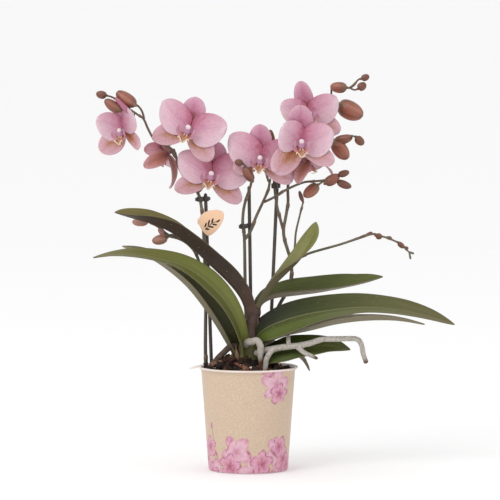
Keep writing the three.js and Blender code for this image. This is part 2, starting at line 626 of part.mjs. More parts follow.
function barkSolid(holes) {
  const random = randomNumbers(11);
  const low = POT_FLOOR + GAP;
  const bed = turned([
    [0, low],
    [potInside(low) - 1, low],
    [potInside(BARK_TOP) - 1, BARK_TOP - 1.5],
    ...[28, 14, 0].map((r) => [r, barkHeight(r - 8, 0) - 1]),
  ], 12);
  const chips = [];
  const chipCount = 19;
  const goldenAngle = Math.PI * (3 - Math.sqrt(5)); // spreads the chips evenly
  for (let i = 0; i < chipCount; i++) {
    const reach = 36 * Math.sqrt((i + 0.5) / chipCount);
    const [x, y] = [reach * Math.cos(i * goldenAngle), reach * Math.sin(i * goldenAngle)];
    const chip = new THREE.BoxGeometry(mix(10, 17, random()), mix(7, 11, random()), mix(3, 5.5, random()));
    chip.rotateX(mix(-0.5, 0.5, random()));
    chip.rotateY(mix(-0.5, 0.5, random()));
    chip.rotateZ(Math.PI * random());
    chip.translate(x, y, barkHeight(x, y) + mix(-1, 1, random()));
    chips.push(solidOf(chip));
  }
  const room = turned([[0, low], [potInside(low) - GAP, low], [potInside(POT_HEIGHT) - GAP, POT_HEIGHT + 8],
    [0, POT_HEIGHT + 8]], 16);
  return clearOf(fuse([solidOf(bed), ...chips]).intersect(solidOf(room)), holes);
}

// ---- The whole plant ----

const orchid = new THREE.Group();
orchid.add(meshOf("pot", potSolid(), printedPlastic));

const crownRoom = crownSolid(GAP);
orchid.add(meshOf("crown", crownSolid(), crownBrown));

const roots = Object.entries(ROOTS);
const rootRooms = roots.map(([, runs]) => rootSolid(runs, GAP));
for (const [name, runs] of roots) orchid.add(meshOf(name, clearOf(rootSolid(runs), [crownRoom]), rootSilver));

// Each leaf is cut clear of the crown, the roots and the leaves before it, where their feet meet.
const leafRooms = [];
for (const [name, leaf] of Object.entries(LEAVES)) {
  orchid.add(meshOf(name, clearOf(leafSolid(leaf), [crownRoom, ...rootRooms, ...leafRooms]), leafGreen));
  leafRooms.push(leafSolid(leaf, GAP));
}

for (const [name, spike] of Object.entries(SPIKES)) {
  orchid.add(meshOf(name, spikeSolid(spike), stalkOlive));
}
for (const [name, ends] of Object.entries(STAKES)) orchid.add(meshOf(name, stakeSolid(ends), stakeBrown));
for (const [name, clip] of Object.entries(CLIPS)) orchid.add(clipMesh(name, clip));
for (const [name, bloom] of Object.entries(BLOOMS)) orchid.add(bloomGroup(name, bloom));
orchid.add(tagMesh());

const stalkFeet = Object.values(SPIKES).map(({ stalk, radii }) =>
  rod(stalk.slice(0, 4), [radii[0]], { extra: GAP }));
const stakeRooms = Object.values(STAKES).map((ends) => stakeSolid(ends, GAP));
orchid.add(meshOf("bark_mix", barkSolid([crownRoom, ...rootRooms, ...stalkFeet, ...stakeRooms]), bark));

export default orchid;
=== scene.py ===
# A small pink moth orchid in its printed 9 cm nursery pot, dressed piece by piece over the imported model.
# Sizes are in millimetres and are made metres when a piece is finished. A Bump's Distance is in metres.
import math
import random

import bmesh
import bpy
from mathutils import Matrix, Vector, noise


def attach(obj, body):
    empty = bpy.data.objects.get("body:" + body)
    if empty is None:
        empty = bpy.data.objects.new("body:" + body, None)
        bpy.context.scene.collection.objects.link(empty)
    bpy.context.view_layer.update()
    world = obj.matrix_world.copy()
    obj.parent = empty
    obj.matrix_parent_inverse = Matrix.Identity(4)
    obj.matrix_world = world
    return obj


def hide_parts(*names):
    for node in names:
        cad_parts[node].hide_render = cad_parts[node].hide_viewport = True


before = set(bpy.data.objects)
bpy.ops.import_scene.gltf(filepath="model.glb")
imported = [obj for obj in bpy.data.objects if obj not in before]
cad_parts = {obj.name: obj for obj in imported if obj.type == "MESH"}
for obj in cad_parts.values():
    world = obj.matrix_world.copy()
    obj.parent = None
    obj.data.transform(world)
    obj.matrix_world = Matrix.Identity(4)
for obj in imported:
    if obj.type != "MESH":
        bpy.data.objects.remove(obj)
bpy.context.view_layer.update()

# ---- Pot ----
# A thin injection-moulded polypropylene nursery pot, 90 mm over its rim, with six drain holes in its floor.
# Its beige outside is a printed film that was moulded onto the wall. The rim, the inside and the ear at the
# left, which the pot is lifted out of its tray by, are bare, nearly white plastic.

MM = 0.001
POT_HEIGHT = 94
POT_RIM_RADIUS = 45
POT_FOOT_RADIUS = 35.8
POT_NECK_RADIUS = 42.6
POT_WALL = 1.2
POT_FLOOR = 1.6
DRAIN_COUNT = 6
DRAIN_RADIUS = 3
DRAIN_REACH = 23.6
PRINT_RADIUS = 39.5  # the wall's middle radius, which turns an angle round the pot into a length on its print
EAR_THICKNESS = 0.9
EAR_DROOP = 12  # degrees


def pot_radius(height):
    """The outer radius of the wall, which widens evenly from the foot to the neck under the rim."""
    return POT_FOOT_RADIUS + (POT_NECK_RADIUS - POT_FOOT_RADIUS) * height / POT_HEIGHT


def linear(hex_colour):
    """An sRGB hex colour as the linear colour that a shader works with."""
    parts = [int(hex_colour[i:i + 2], 16) / 255 for i in (1, 3, 5)]
    return [p / 12.92 if p <= 0.04045 else ((p + 0.055) / 1.055) ** 2.4 for p in parts] + [1]


def add_node(tree, kind, settings={}, links={}):
    """Adds a node. Lower-case settings are its own, the others are its inputs' values. Links join inputs."""
    node = tree.nodes.new("ShaderNode" + kind)
    for name, value in settings.items():
        if name == "stops":
            ramp = node.color_ramp.elements
            ramp.remove(ramp[1])
            ramp[0].position, ramp[0].color = value[0][0], linear(value[0][1])
            for place, colour in value[1:]:
                ramp.new(place).color = linear(colour)
        elif isinstance(name, str) and name.islower():
            setattr(node, name, value)
        else:
            node.inputs[name].default_value = linear(value) if isinstance(value, str) else value
    for name, output in links.items():
        tree.links.new(output, node.inputs[name])
    return node


def start_material(name):
    material = bpy.data.materials.new(name)
    material.use_nodes = True
    material.node_tree.nodes.clear()
    return material, material.node_tree


def close_material(tree, settings, links):
    shader = add_node(tree, "BsdfPrincipled", settings, links)
    add_node(tree, "OutputMaterial", {}, {"Surface": shader.outputs[0]})


def start_piece():
    bm = bmesh.new()
    bm.loops.layers.uv.new("UVMap")
    return bm


def finish_piece(bm, name, materials, nodes=(), sharp=None):
    """Makes the bmesh an object that rides with the plant and stands for the CAD nodes."""
    bmesh.ops.scale(bm, vec=(MM, MM, MM), verts=bm.verts)
    mesh = bpy.data.meshes.new(name)
    bm.to_mesh(mesh)
    bm.free()
    for material in materials:
        mesh.materials.append(material)
    mesh.shade_smooth()
    if sharp:
        mesh.set_sharp_from_angle(angle=math.radians(sharp))
    piece = bpy.data.objects.new(name, mesh)
    bpy.context.scene.collection.objects.link(piece)
    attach(piece, "root")
    if nodes:
        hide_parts(*nodes)
    return piece


def spin_profile(bm, profile, steps=96):
    """Turns a profile of radius and height all round the upright axis."""
    verts = [bm.verts.new((radius, 0, height)) for radius, height in profile]
    edges = [bm.edges.new(pair) for pair in zip(verts, verts[1:])]
    bmesh.ops.spin(bm, geom=verts + edges, cent=(0, 0, 0), axis=(0, 0, 1), angle=2 * math.pi, steps=steps,
                   use_merge=True)
    bmesh.ops.remove_doubles(bm, verts=bm.verts, dist=1e-3)
    bmesh.ops.recalc_face_normals(bm, faces=bm.faces)


def raise_face(bm, face, way):
    """Draws a flat face out into a solid plate."""
    risen = bmesh.ops.extrude_face_region(bm, geom=[face])
    bmesh.ops.translate(bm, vec=way, verts=[v for v in risen["geom"] if isinstance(v, bmesh.types.BMVert)])
    bmesh.ops.recalc_face_normals(bm, faces=bm.faces)


def soften_edges(bm, edges, offset, segments, material=-1):
    return bmesh.ops.bevel(bm, geom=edges, offset=offset, segments=segments, affect="EDGES", profile=0.5,
                           material=material)


def apply_modifiers(piece):
    """Bakes the piece's modifiers into its mesh."""
    shown = piece.evaluated_get(bpy.context.evaluated_depsgraph_get())
    mesh = bpy.data.meshes.new_from_object(shown)
    piece.modifiers.clear()
    piece.data = mesh


# Printed film: watercolour blossoms, buds and twigs in pinks on kraft beige. Matt ink under a faintly glossy
# skin.
film, tree = start_material("printed_in_mould_film")
place = add_node(tree, "TexCoord").outputs["Object"]
axes = add_node(tree, "SeparateXYZ", {}, {0: place})
towards = add_node(tree, "Math", {"operation": "MULTIPLY", 1: -1}, {0: axes.outputs["Y"]})
turn = add_node(tree, "Math", {"operation": "ARCTAN2"}, {0: axes.outputs["X"], 1: towards.outputs[0]})
arc = add_node(tree, "Math", {"operation": "MULTIPLY", 1: PRINT_RADIUS * MM}, {0: turn.outputs[0]})
flat = add_node(tree, "CombineXYZ", {}, {"X": arc.outputs[0], "Y": axes.outputs["Z"]})
brush = add_node(tree, "TexNoise", {"Scale": 1000 / 8, "Detail": 3, "Roughness": 0.6}, {"Vector": place})
wobbly = add_node(tree, "VectorMath", {"operation": "MULTIPLY_ADD", 1: (0.004, 0.004, 0)},
                  {0: brush.outputs["Color"], 2: flat.outputs[0]})  # brush edges wander by about 2 mm
wash = add_node(tree, "TexNoise", {"Scale": 1000 / 5, "Detail": 5, "Roughness": 0.65}, {"Vector": place})


def add_blossoms(ground, cell, radius, top, shift, stops, strength):
    """Paints five-petalled blossoms, one to a cell of that many millimetres, thinning out towards the top."""
    moved = add_node(tree, "VectorMath", {"operation": "ADD", 1: (shift * MM, shift * MM, 0)},
                     {0: wobbly.outputs[0]})
    cells = add_node(tree, "TexVoronoi",
                     {"voronoi_dimensions": "2D", "Scale": 1000 / cell, "Randomness": 0.75},
                     {"Vector": moved.outputs[0]})
    chance = add_node(tree, "SeparateColor", {}, {0: cells.outputs["Color"]})
    from_middle = add_node(tree, "VectorMath", {"operation": "SUBTRACT"},
                           {0: moved.outputs[0], 1: cells.outputs["Position"]})
    away = add_node(tree, "VectorMath", {"operation": "LENGTH"}, {0: from_middle.outputs[0]})
    sides = add_node(tree, "SeparateXYZ", {}, {0: from_middle.outputs[0]})
    angle = add_node(tree, "Math", {"operation": "ARCTAN2"}, {0: sides.outputs["Y"], 1: sides.outputs["X"]})
    start = add_node(tree, "Math", {"operation": "MULTIPLY", 1: 2 * math.pi}, {0: chance.outputs[0]})
    spun = add_node(tree, "Math", {"operation": "MULTIPLY_ADD", 1: 2.5},
                    {0: angle.outputs[0], 2: start.outputs[0]})
    wave = add_node(tree, "Math", {"operation": "COSINE"}, {0: spun.outputs[0]})
    petal = add_node(tree, "Math", {"operation": "ABSOLUTE"}, {0: wave.outputs[0]})
    rounded = add_node(tree, "Math", {"operation": "POWER", 1: 0.55}, {0: petal.outputs[0]})
    size = add_node(tree, "MapRange", {"To Min": 0.75 * radius * MM, "To Max": radius * MM},
                    {0: chance.outputs[1]})
    lobe = add_node(tree, "Math", {"operation": "MULTIPLY_ADD", 1: 0.62, 2: 0.38}, {0: rounded.outputs[0]})
    outline = add_node(tree, "Math", {"operation": "MULTIPLY"}, {0: size.outputs[0], 1: lobe.outputs[0]})
    share = add_node(tree, "Math", {"operation": "DIVIDE"}, {0: away.outputs["Value"], 1: outline.outputs[0]})
    inside = add_node(tree, "MapRange", {"From Min": 0.93, "From Max": 1, "To Min": 1, "To Max": 0},
                      {0: share.outputs[0]})
    middle = add_node(tree, "SeparateXYZ", {}, {0: cells.outputs["Position"]})
    height = add_node(tree, "MapRange", {"From Min": (10 + shift) * MM, "From Max": (top + shift) * MM,
                                         "To Min": 1.1, "To Max": 0}, {0: middle.outputs["Y"]})
    swing = add_node(tree, "Math", {"operation": "MULTIPLY", 1: 1000 / 18}, {0: middle.outputs["X"]})
    rise = add_node(tree, "Math", {"operation": "SINE"}, {0: swing.outputs[0]})
    climb = add_node(tree, "Math", {"operation": "MULTIPLY_ADD", 1: 0.42},
                     {0: rise.outputs[0], 2: height.outputs[0]})
    painted = add_node(tree, "Math", {"operation": "GREATER_THAN"},
                       {0: climb.outputs[0], 1: chance.outputs[2]})
    veins = add_node(tree, "Math", {"operation": "MULTIPLY", 1: 7}, {0: spun.outputs[0]})
    vein = add_node(tree, "Math", {"operation": "SINE"}, {0: veins.outputs[0]})
    streaked = add_node(tree, "Math", {"operation": "MULTIPLY_ADD", 1: 0.05},
                        {0: vein.outputs[0], 2: share.outputs[0]})
    washed = add_node(tree, "Math", {"operation": "MULTIPLY_ADD", 1: 0.5, 2: -0.25}, {0: wash.outputs[0]})
    tone = add_node(tree, "Math", {"operation": "ADD"}, {0: streaked.outputs[0], 1: washed.outputs[0]})
    ink = add_node(tree, "ValToRGB", {"stops": stops}, {0: tone.outputs[0]})
    cover = add_node(tree, "Math", {"operation": "MULTIPLY"}, {0: inside.outputs[0], 1: painted.outputs[0]})
    thin = add_node(tree, "Math", {"operation": "MULTIPLY", 1: strength}, {0: cover.outputs[0]})
    return add_node(tree, "Mix", {"data_type": "RGBA"},
                    {0: thin.outputs[0], 6: ground, 7: ink.outputs[0]}).outputs[2]


kraft_fleck = add_node(tree, "TexNoise", {"Scale": 1000 / 1.2, "Detail": 3}, {"Vector": place})
kraft = add_node(tree, "ValToRGB", {"stops": [(0.3, "#bda68e"), (0.5, "#c6af98"), (0.7, "#ceb8a2")]},
                 {0: kraft_fleck.outputs[0]})
paint = add_blossoms(kraft.outputs[0], 31, 21, 62, 13, [(0, "#b9728f"), (0.3, "#cf9ab2"), (0.6, "#d9b0c2"),
                                                        (0.85, "#cb90aa"), (1, "#b87491")], 0.85)
paint = add_blossoms(paint, 24, 14.5, 50, 0, [(0, "#8f3f5e"), (0.2, "#b0647f"), (0.45, "#c58399"),
                                              (0.7, "#d3a0b4"), (0.86, "#bf7f98"), (0.97, "#a25874")], 0.92)
# Small buds between them, 6 mm long, each on a slanting stem.
seeds = add_node(tree, "TexVoronoi", {"voronoi_dimensions": "2D", "Scale": 1000 / 19, "Randomness": 0.8},
                 {"Vector": wobbly.outputs[0]})
seed_chance = add_node(tree, "SeparateColor", {}, {0: seeds.outputs["Color"]})
from_seed = add_node(tree, "VectorMath", {"operation": "SUBTRACT"},
                     {0: wobbly.outputs[0], 1: seeds.outputs["Position"]})
seed_sides = add_node(tree, "SeparateXYZ", {}, {0: from_seed.outputs[0]})
slant = add_node(tree, "MapRange", {"To Min": -0.7, "To Max": 0.7}, {0: seed_chance.outputs[1]})
leaned = add_node(tree, "Math", {"operation": "MULTIPLY"}, {0: slant.outputs[0], 1: seed_sides.outputs["Y"]})
aside = add_node(tree, "Math", {"operation": "SUBTRACT"}, {0: seed_sides.outputs["X"], 1: leaned.outputs[0]})
seed_place = add_node(tree, "SeparateXYZ", {}, {0: seeds.outputs["Position"]})
seed_height = add_node(tree, "MapRange",
                       {"From Min": 14 * MM, "From Max": 60 * MM, "To Min": 0.9, "To Max": 0},
                       {0: seed_place.outputs["Y"]})
seeded = add_node(tree, "Math", {"operation": "GREATER_THAN"},
                  {0: seed_height.outputs[0], 1: seed_chance.outputs[0]})
off_stem = add_node(tree, "Math", {"operation": "ABSOLUTE"}, {0: aside.outputs[0]})
stem_side = add_node(tree, "MapRange",
                     {"From Min": 0.3 * MM, "From Max": 0.6 * MM, "To Min": 0.8, "To Max": 0},
                     {0: off_stem.outputs[0]})
stem_top = add_node(tree, "Math", {"operation": "LESS_THAN", 1: 0}, {0: seed_sides.outputs["Y"]})
stem_cover = add_node(tree, "Math", {"operation": "MULTIPLY"},
                      {0: stem_side.outputs[0], 1: stem_top.outputs[0]})
stem_shown = add_node(tree, "Math", {"operation": "MULTIPLY"},
                      {0: stem_cover.outputs[0], 1: seeded.outputs[0]})
paint = add_node(tree, "Mix", {"data_type": "RGBA", 7: "#a5627a"},
                 {0: stem_shown.outputs[0], 6: paint}).outputs[2]
egg = add_node(tree, "CombineXYZ", {}, {"X": aside.outputs[0], "Y": seed_sides.outputs["Y"]})
narrow = add_node(tree, "VectorMath", {"operation": "MULTIPLY", 1: (1.7, 0.9, 0)}, {0: egg.outputs[0]})
seed_reach = add_node(tree, "VectorMath", {"operation": "LENGTH"}, {0: narrow.outputs[0]})
seed_disc = add_node(tree, "MapRange",
                     {"From Min": 2.6 * MM, "From Max": 2.9 * MM, "To Min": 0.9, "To Max": 0},
                     {0: seed_reach.outputs["Value"]})
seed_cover = add_node(tree, "Math", {"operation": "MULTIPLY"},
                      {0: seed_disc.outputs[0], 1: seeded.outputs[0]})
seed_ink = add_node(tree, "ValToRGB", {"stops": [(0.35, "#a04f6c"), (0.65, "#cf93a9")]}, {0: wash.outputs[0]})
paint = add_node(tree, "Mix", {"data_type": "RGBA"},
                 {0: seed_cover.outputs[0], 6: paint, 7: seed_ink.outputs[0]}).outputs[2]
skin = add_node(tree, "Bump", {"Strength": 0.25, "Distance": 0.0002}, {"Height": kraft_fleck.outputs[0]})
close_material(tree, {"Roughness": 0.48, "IOR": 1.49, "Subsurface Weight": 0.05, "Subsurface Scale": 0.002},
               {"Base Color": paint, "Normal": skin.outputs[0]})

# Bare polypropylene: a soft, waxy white that dulls where it is handled, with a faint moulded grain.
white_plastic, tree = start_material("moulded_polypropylene")
place = add_node(tree, "TexCoord").outputs["Object"]
grain = add_node(tree, "TexNoise", {"Scale": 1000 / 0.8, "Detail": 2}, {"Vector": place})
cloud = add_node(tree, "TexNoise", {"Scale": 1000 / 14, "Detail": 3}, {"Vector": place})
milky = add_node(tree, "ValToRGB", {"stops": [(0.3, "#dacbc2"), (0.6, "#e4d8d0")]}, {0: cloud.outputs[0]})
dull = add_node(tree, "MapRange", {"To Min": 0.32, "To Max": 0.5}, {0: cloud.outputs[0]})
skin = add_node(tree, "Bump", {"Strength": 0.2, "Distance": 0.0001}, {"Height": grain.outputs[0]})
close_material(tree, {"IOR": 1.49, "Subsurface Weight": 0.15, "Subsurface Scale": 0.002},
               {"Base Color": milky.outputs[0], "Roughness": dull.outputs[0], "Normal": skin.outputs[0]})

bm = start_piece()
spin_profile(bm, [
    (0, 0.8), (DRAIN_REACH - 8, 0.8), (DRAIN_REACH + 6.5, 0.6), (33, 0), (34.6, 0.1), (35.6, 0.7),
    (pot_radius(2.2), 2.2), (pot_radius(30), 30), (pot_radius(60), 60), (pot_radius(88), 88),
    (pot_radius(90.6), 90.6), (43.6, 91.6), (44.6, 92.3), (POT_RIM_RADIUS, 92.9), (POT_RIM_RADIUS, 93.4),
    (44.7, 93.9), (44.2, POT_HEIGHT), (43.2, 93.9), (42.2, 93.4),
    (pot_radius(91) - POT_WALL, 91), (pot_radius(60) - POT_WALL, 60), (pot_radius(30) - POT_WALL, 30),
    (pot_radius(3) - POT_WALL, 3), (33.4, POT_FLOOR + 0.3), (32, POT_FLOOR), (0, POT_FLOOR)], 120)
for face in bm.faces:
    middle = face.calc_center_median()
    wall = math.hypot(middle.x, middle.y) > pot_radius(middle.z) - 0.6 and 1 < middle.z < 92.5
    face.material_index = 0 if wall else 1
pot = finish_piece(bm, "pot_shell", [film, white_plastic], ["pot"], sharp=50)
bm = bmesh.new()
for i in range(DRAIN_COUNT):
    turned = 2 * math.pi * (i + 0.5) / DRAIN_COUNT
    spot = Matrix.Translation((DRAIN_REACH * math.cos(turned), DRAIN_REACH * math.sin(turned), 0))
    bmesh.ops.create_cone(bm, cap_ends=True, segments=32, radius1=DRAIN_RADIUS, radius2=DRAIN_RADIUS, depth=9,
                          matrix=spot)
bmesh.ops.scale(bm, vec=(MM, MM, MM), verts=bm.verts)
drill_mesh = bpy.data.meshes.new("drain_drill")
bm.to_mesh(drill_mesh)
bm.free()
drill = bpy.data.objects.new("drain_drill", drill_mesh)
bpy.context.scene.collection.objects.link(drill)
holes = pot.modifiers.new("drain_holes", "BOOLEAN")
holes.operation, holes.object, holes.solver = "DIFFERENCE", drill, "EXACT"
apply_modifiers(pot)
bpy.data.objects.remove(drill)

# The ear: a thin flap with rounded edges, moulded on with the rim, that droops a little.
bm = start_piece()
ear = [bm.verts.new((2.4, -5, 0)), bm.verts.new((2.4, 13, 0))]
for start, pull, end in (((2.4, 13), (-4, 11), (-9, 4)), ((-9, 4), (-10, 0), (-7, -2))):
    for t in (0.2, 0.4, 0.6, 0.8, 1):
        ear.append(bm.verts.new([(1 - t) ** 2 * a + 2 * t * (1 - t) * b + t * t * c
                                 for a, b, c in zip(start, pull, end)] + [0]))
raise_face(bm, bm.faces.new(ear), (0, 0, EAR_THICKNESS))
soften_edges(bm, [edge for edge in bm.edges if edge.calc_face_angle(0) > 1], 0.25, 3)
bmesh.ops.rotate(bm, cent=(0, 0, 0), matrix=Matrix.Rotation(math.radians(-EAR_DROOP), 3, "Y"), verts=bm.verts)
bmesh.ops.translate(bm, vec=(-POT_RIM_RADIUS + 0.6, 0, POT_HEIGHT - 1.1), verts=bm.verts)
finish_piece(bm, "pot_ear", [white_plastic], ["pot"], sharp=40)

# ---- Bark mix ----
# Pine bark chips with strands of dry fibre and a few grains of white perlite, filled loosely into the pot and
# heaped a little round the crown's foot. Broken by hand and sieve, so every chip has its own size and its own
# brown.

CHIP_COUNT = 230
FIBRE_COUNT = 46
PERLITE_COUNT = 16
GOLDEN_ANGLE = 2.39996  # radians from each chip to the next, which spreads them evenly
CHIP_REACH = 38.5
FIBRE_REACH = 38


def bark_height(x, y):
    """How high the mix stands there: nearly level, heaped at the crown's foot and a little at the left."""
    heap = 10 * math.exp(-((x + 7) ** 2 + (y + 6) ** 2) / 330)
    side_heap = 4 * math.exp(-((x + 25) ** 2 + y ** 2) / 200)
    return 89.5 + heap + side_heap


def smooth_line(points):
    """A smooth curve through the points, which gives the place for t from 0 to 1."""
    points = [Vector(p) for p in points]
    ends = [2 * points[0] - points[1], *points, 2 * points[-1] - points[-2]]

    def place_at(t):
        spot = min(max(t, 0), 1) * (len(points) - 1)
        first = min(int(spot), len(points) - 2)
        w = spot - first
        a, b, c, d = ends[first:first + 4]
        start, finish = (c - a) / 2, (d - b) / 2
        return (b + start * w + (3 * (c - b) - 2 * start - finish) * w ** 2
                + (2 * (b - c) + start + finish) * w ** 3)

    return place_at


def heading(line, t):
    return (line(min(t + 1e-4, 1)) - line(max(t - 1e-4, 0))).normalized()


def between(values, t):
    """The value at t, from 0 to 1, in a list of values spread evenly over that range."""
    spot = min(max(t, 0), 1) * (len(values) - 1)
    first = min(int(spot), max(len(values) - 2, 0))
    if len(values) == 1:
        return values[0]
    return values[first] + (values[first + 1] - values[first]) * (spot - first)


def set_skin(verts, material):
    """Gives the faces at those vertices the material slot, and returns them."""
    faces = {face for vert in verts for face in vert.link_faces}
    for face in faces:
        face.material_index = material
    return faces


def add_tube(bm, points, radius_at, around=12, along=24, material=0):
    """Rolls a grid into a closed tube on a smooth line. radius_at(angle, t) has t from 0 to 1 along it."""
    line = smooth_line(points)
    normal = Vector((0, 0, 1)) if abs(heading(line, 0).x) > 0.8 else Vector((1, 0, 0))
    rings = []
    for row in range(along + 1):
        ahead = heading(line, row / along)
        normal = (normal - ahead * normal.dot(ahead)).normalized()
        rings.append((line(row / along), normal, ahead.cross(normal)))
    sheet = bmesh.ops.create_grid(bm, x_segments=around, y_segments=along, size=0.5, calc_uvs=True)
    for vert in sheet["verts"]:
        angle, t = 2 * math.pi * (0.5 - vert.co.x), vert.co.y + 0.5
        middle, right, up = rings[round(t * along)]
        radius = radius_at(angle, t)
        vert.co = middle + radius * (math.cos(angle) * right + math.sin(angle) * up)
    faces = set_skin(sheet["verts"], material)
    seam = [vert for vert in sheet["verts"] if vert.is_boundary]
    bmesh.ops.remove_doubles(bm, verts=seam, dist=1e-3)
    return faces


def round_ends(t, blunt):
    """A share that closes a tube at both ends over `blunt` of its length, as a quarter circle does."""
    near = min(t, 1 - t) / blunt
    return math.sqrt(max(1 - (1 - near) ** 2, 0)) if near < 1 else 1


# Pine bark: flaky, dry and dark, each chip redder or greyer than the next, with a corky grain across it.
bark, tree = start_material("pine_bark")
place = add_node(tree, "TexCoord").outputs["Object"]
shade = add_node(tree, "Attribute", {"attribute_name": "shade"})
cork = add_node(tree, "TexNoise", {"Scale": 1000 / 2.5, "Detail": 6, "Roughness": 0.7}, {"Vector": place})
flake = add_node(tree, "TexVoronoi", {"Scale": 1000 / 1.8, "feature": "DISTANCE_TO_EDGE"}, {"Vector": place})
own = add_node(tree, "ValToRGB", {"stops": [(0, "#211610"), (0.35, "#3e261b"), (0.6, "#643a2c"),
                                            (0.8, "#84503e"), (1, "#a07a5a")]}, {0: shade.outputs["Fac"]})
dark = add_node(tree, "ValToRGB", {"stops": [(0.35, "#5a5048"), (0.65, "#ffffff")]}, {0: cork.outputs[0]})
mixed = add_node(tree, "Mix", {"data_type": "RGBA", "blend_type": "MULTIPLY", 0: 0.8},
                 {6: own.outputs[0], 7: dark.outputs[0]})
heights = add_node(tree, "Math", {"operation": "ADD"}, {0: cork.outputs[0], 1: flake.outputs[0]})
rough = add_node(tree, "Bump", {"Strength": 0.8, "Distance": 0.0008}, {"Height": heights.outputs[0]})
close_material(tree, {"Roughness": 0.88, "IOR": 1.45},
               {"Base Color": mixed.outputs[2], "Normal": rough.outputs[0]})

# Coir and moss strands: dry, straw to dull green, matt.
fibre, tree = start_material("dry_fibre")
place = add_node(tree, "TexCoord").outputs["Object"]
patches = add_node(tree, "TexNoise", {"Scale": 1000 / 9, "Detail": 4}, {"Vector": place})
straw = add_node(tree, "ValToRGB", {"stops": [(0.3, "#77744a"), (0.5, "#b0987a"), (0.7, "#d2bfa2")]},
                 {0: patches.outputs[0]})
fray = add_node(tree, "Bump", {"Strength": 0.4, "Distance": 0.0002}, {"Height": patches.outputs[0]})
close_material(tree, {"Roughness": 0.8}, {"Base Color": straw.outputs[0], "Normal": fray.outputs[0]})

# Perlite: puffed volcanic glass, chalky white with fine pores.
perlite, tree = start_material("perlite_grain")
place = add_node(tree, "TexCoord").outputs["Object"]
pores = add_node(tree, "TexVoronoi", {"Scale": 1000 / 0.5}, {"Vector": place})
chalk = add_node(tree, "ValToRGB", {"stops": [(0, "#b9b0a4"), (0.4, "#e6e0d8")]}, {0: pores.outputs[0]})
pitted = add_node(tree, "Bump", {"Strength": 0.6, "Distance": 0.0003}, {"Height": pores.outputs[0]})
close_material(tree, {"Roughness": 0.9}, {"Base Color": chalk.outputs[0], "Normal": pitted.outputs[0]})

rng = random.Random(11)
bm = start_piece()
low = POT_FLOOR + 0.35
inner = [(r, bark_height(r - 8, 0) - 2.2) for r in (36, 30, 24, 18, 12, 6, 0)]
wall_side = [(pot_radius(height) - POT_WALL - 1, height) for height in (low, 45, 86)]
spin_profile(bm, [(0, low), (20, low), *wall_side, (pot_radius(88) - POT_WALL - 1.4, 87.6), *inner], 60)
shade_layer = bm.verts.layers.float.new("shade")
for vert in bm.verts:
    if vert.co.z > 80:
        vert.co.z += 1.4 * noise.noise(vert.co * 0.12)
    vert[shade_layer] = 0.15 + 0.2 * noise.noise(vert.co * 0.3)
for i in range(CHIP_COUNT):
    reach = CHIP_REACH * math.sqrt((i + 0.5) / CHIP_COUNT)
    x, y = reach * math.cos(i * GOLDEN_ANGLE), reach * math.sin(i * GOLDEN_ANGLE)
    cube = bmesh.ops.create_cube(bm, size=1)["verts"]
    length, width, thick = rng.uniform(5, 14), rng.uniform(3.5, 8), rng.uniform(2, 5)
    tilt = [rng.uniform(-1.2, 1.2), rng.uniform(-1.1, 1.1), rng.uniform(0, math.pi)]
    spin = (Matrix.Rotation(tilt[2], 3, "Z") @ Matrix.Rotation(tilt[0], 3, "X")
            @ Matrix.Rotation(tilt[1], 3, "Y"))
    top = bark_height(x, y) + rng.uniform(-2.6, 1.6)
    for vert in cube:
        ragged = Vector([c + rng.uniform(-0.16, 0.16) for c in vert.co])
        vert.co = spin @ (ragged * Vector((length, width, thick))) + Vector((x, y, top))
        room = pot_radius(min(vert.co.z, POT_HEIGHT)) - POT_WALL - 0.9
        out = math.hypot(vert.co.x, vert.co.y)
        if out > room:
            vert.co.x, vert.co.y = vert.co.x * room / out, vert.co.y * room / out
    cut = soften_edges(bm, list({edge for vert in cube for edge in vert.link_edges}), 0.55, 1)
    tint = rng.random() ** 1.6
    for vert in cut["verts"]:
        vert[shade_layer] = tint
finish_piece(bm, "bark_chips", [bark], ["bark_mix"], sharp=35)

bm = start_piece()
for i in range(FIBRE_COUNT):
    angle, reach = rng.uniform(0, 2 * math.pi), 36 * math.sqrt(rng.random())
    way = rng.uniform(0, 2 * math.pi)
    run = []
    for step in range(5):
        x = reach * math.cos(angle) + step * 4 * math.cos(way)
        y = reach * math.sin(angle) + step * 4 * math.sin(way)
        way += rng.uniform(-0.6, 0.6)
        out = math.hypot(x, y)
        if out > FIBRE_REACH:
            x, y = x * FIBRE_REACH / out, y * FIBRE_REACH / out
        run.append((x, y, bark_height(x, y) + rng.uniform(1, 3.4)))
    thin = rng.uniform(0.25, 0.6)
    add_tube(bm, run, lambda angle, t: thin * round_ends(t, 0.3), 5, 10)
bmesh.ops.recalc_face_normals(bm, faces=bm.faces)
finish_piece(bm, "bark_fibres", [fibre])

bm = start_piece()
for i in range(PERLITE_COUNT):
    angle, reach = rng.uniform(0, 2 * math.pi), 36 * math.sqrt(rng.random())
    x, y = reach * math.cos(angle), reach * math.sin(angle)
    grain = bmesh.ops.create_icosphere(bm, subdivisions=2, radius=rng.uniform(1, 2))["verts"]
    for vert in grain:
        vert.co = vert.co * (1 + 0.3 * noise.noise(vert.co + Vector((i * 7, 0, 0))))
        vert.co += Vector((x, y, bark_height(x, y) + 2.2))
finish_piece(bm, "bark_perlite", [perlite])

# ---- Crown ----
# The short living stem from which all leaves grow, clasped by their feet: purple-brown and leathery, ringed
# by the scars of old leaves, with papery brown shreds of dead sheaths round its foot.

CROWN = [[-2, 2, 66], [-2, 1, 84], [-1, 0, 100], [1, -1, 114], [3, -2, 130], [6, -2, 142], [8, -2, 151]]
CROWN_RADII = [7, 12, 12, 9, 6.4, 5.4, 3.6]
SHEATH_THICKNESS = 0.45

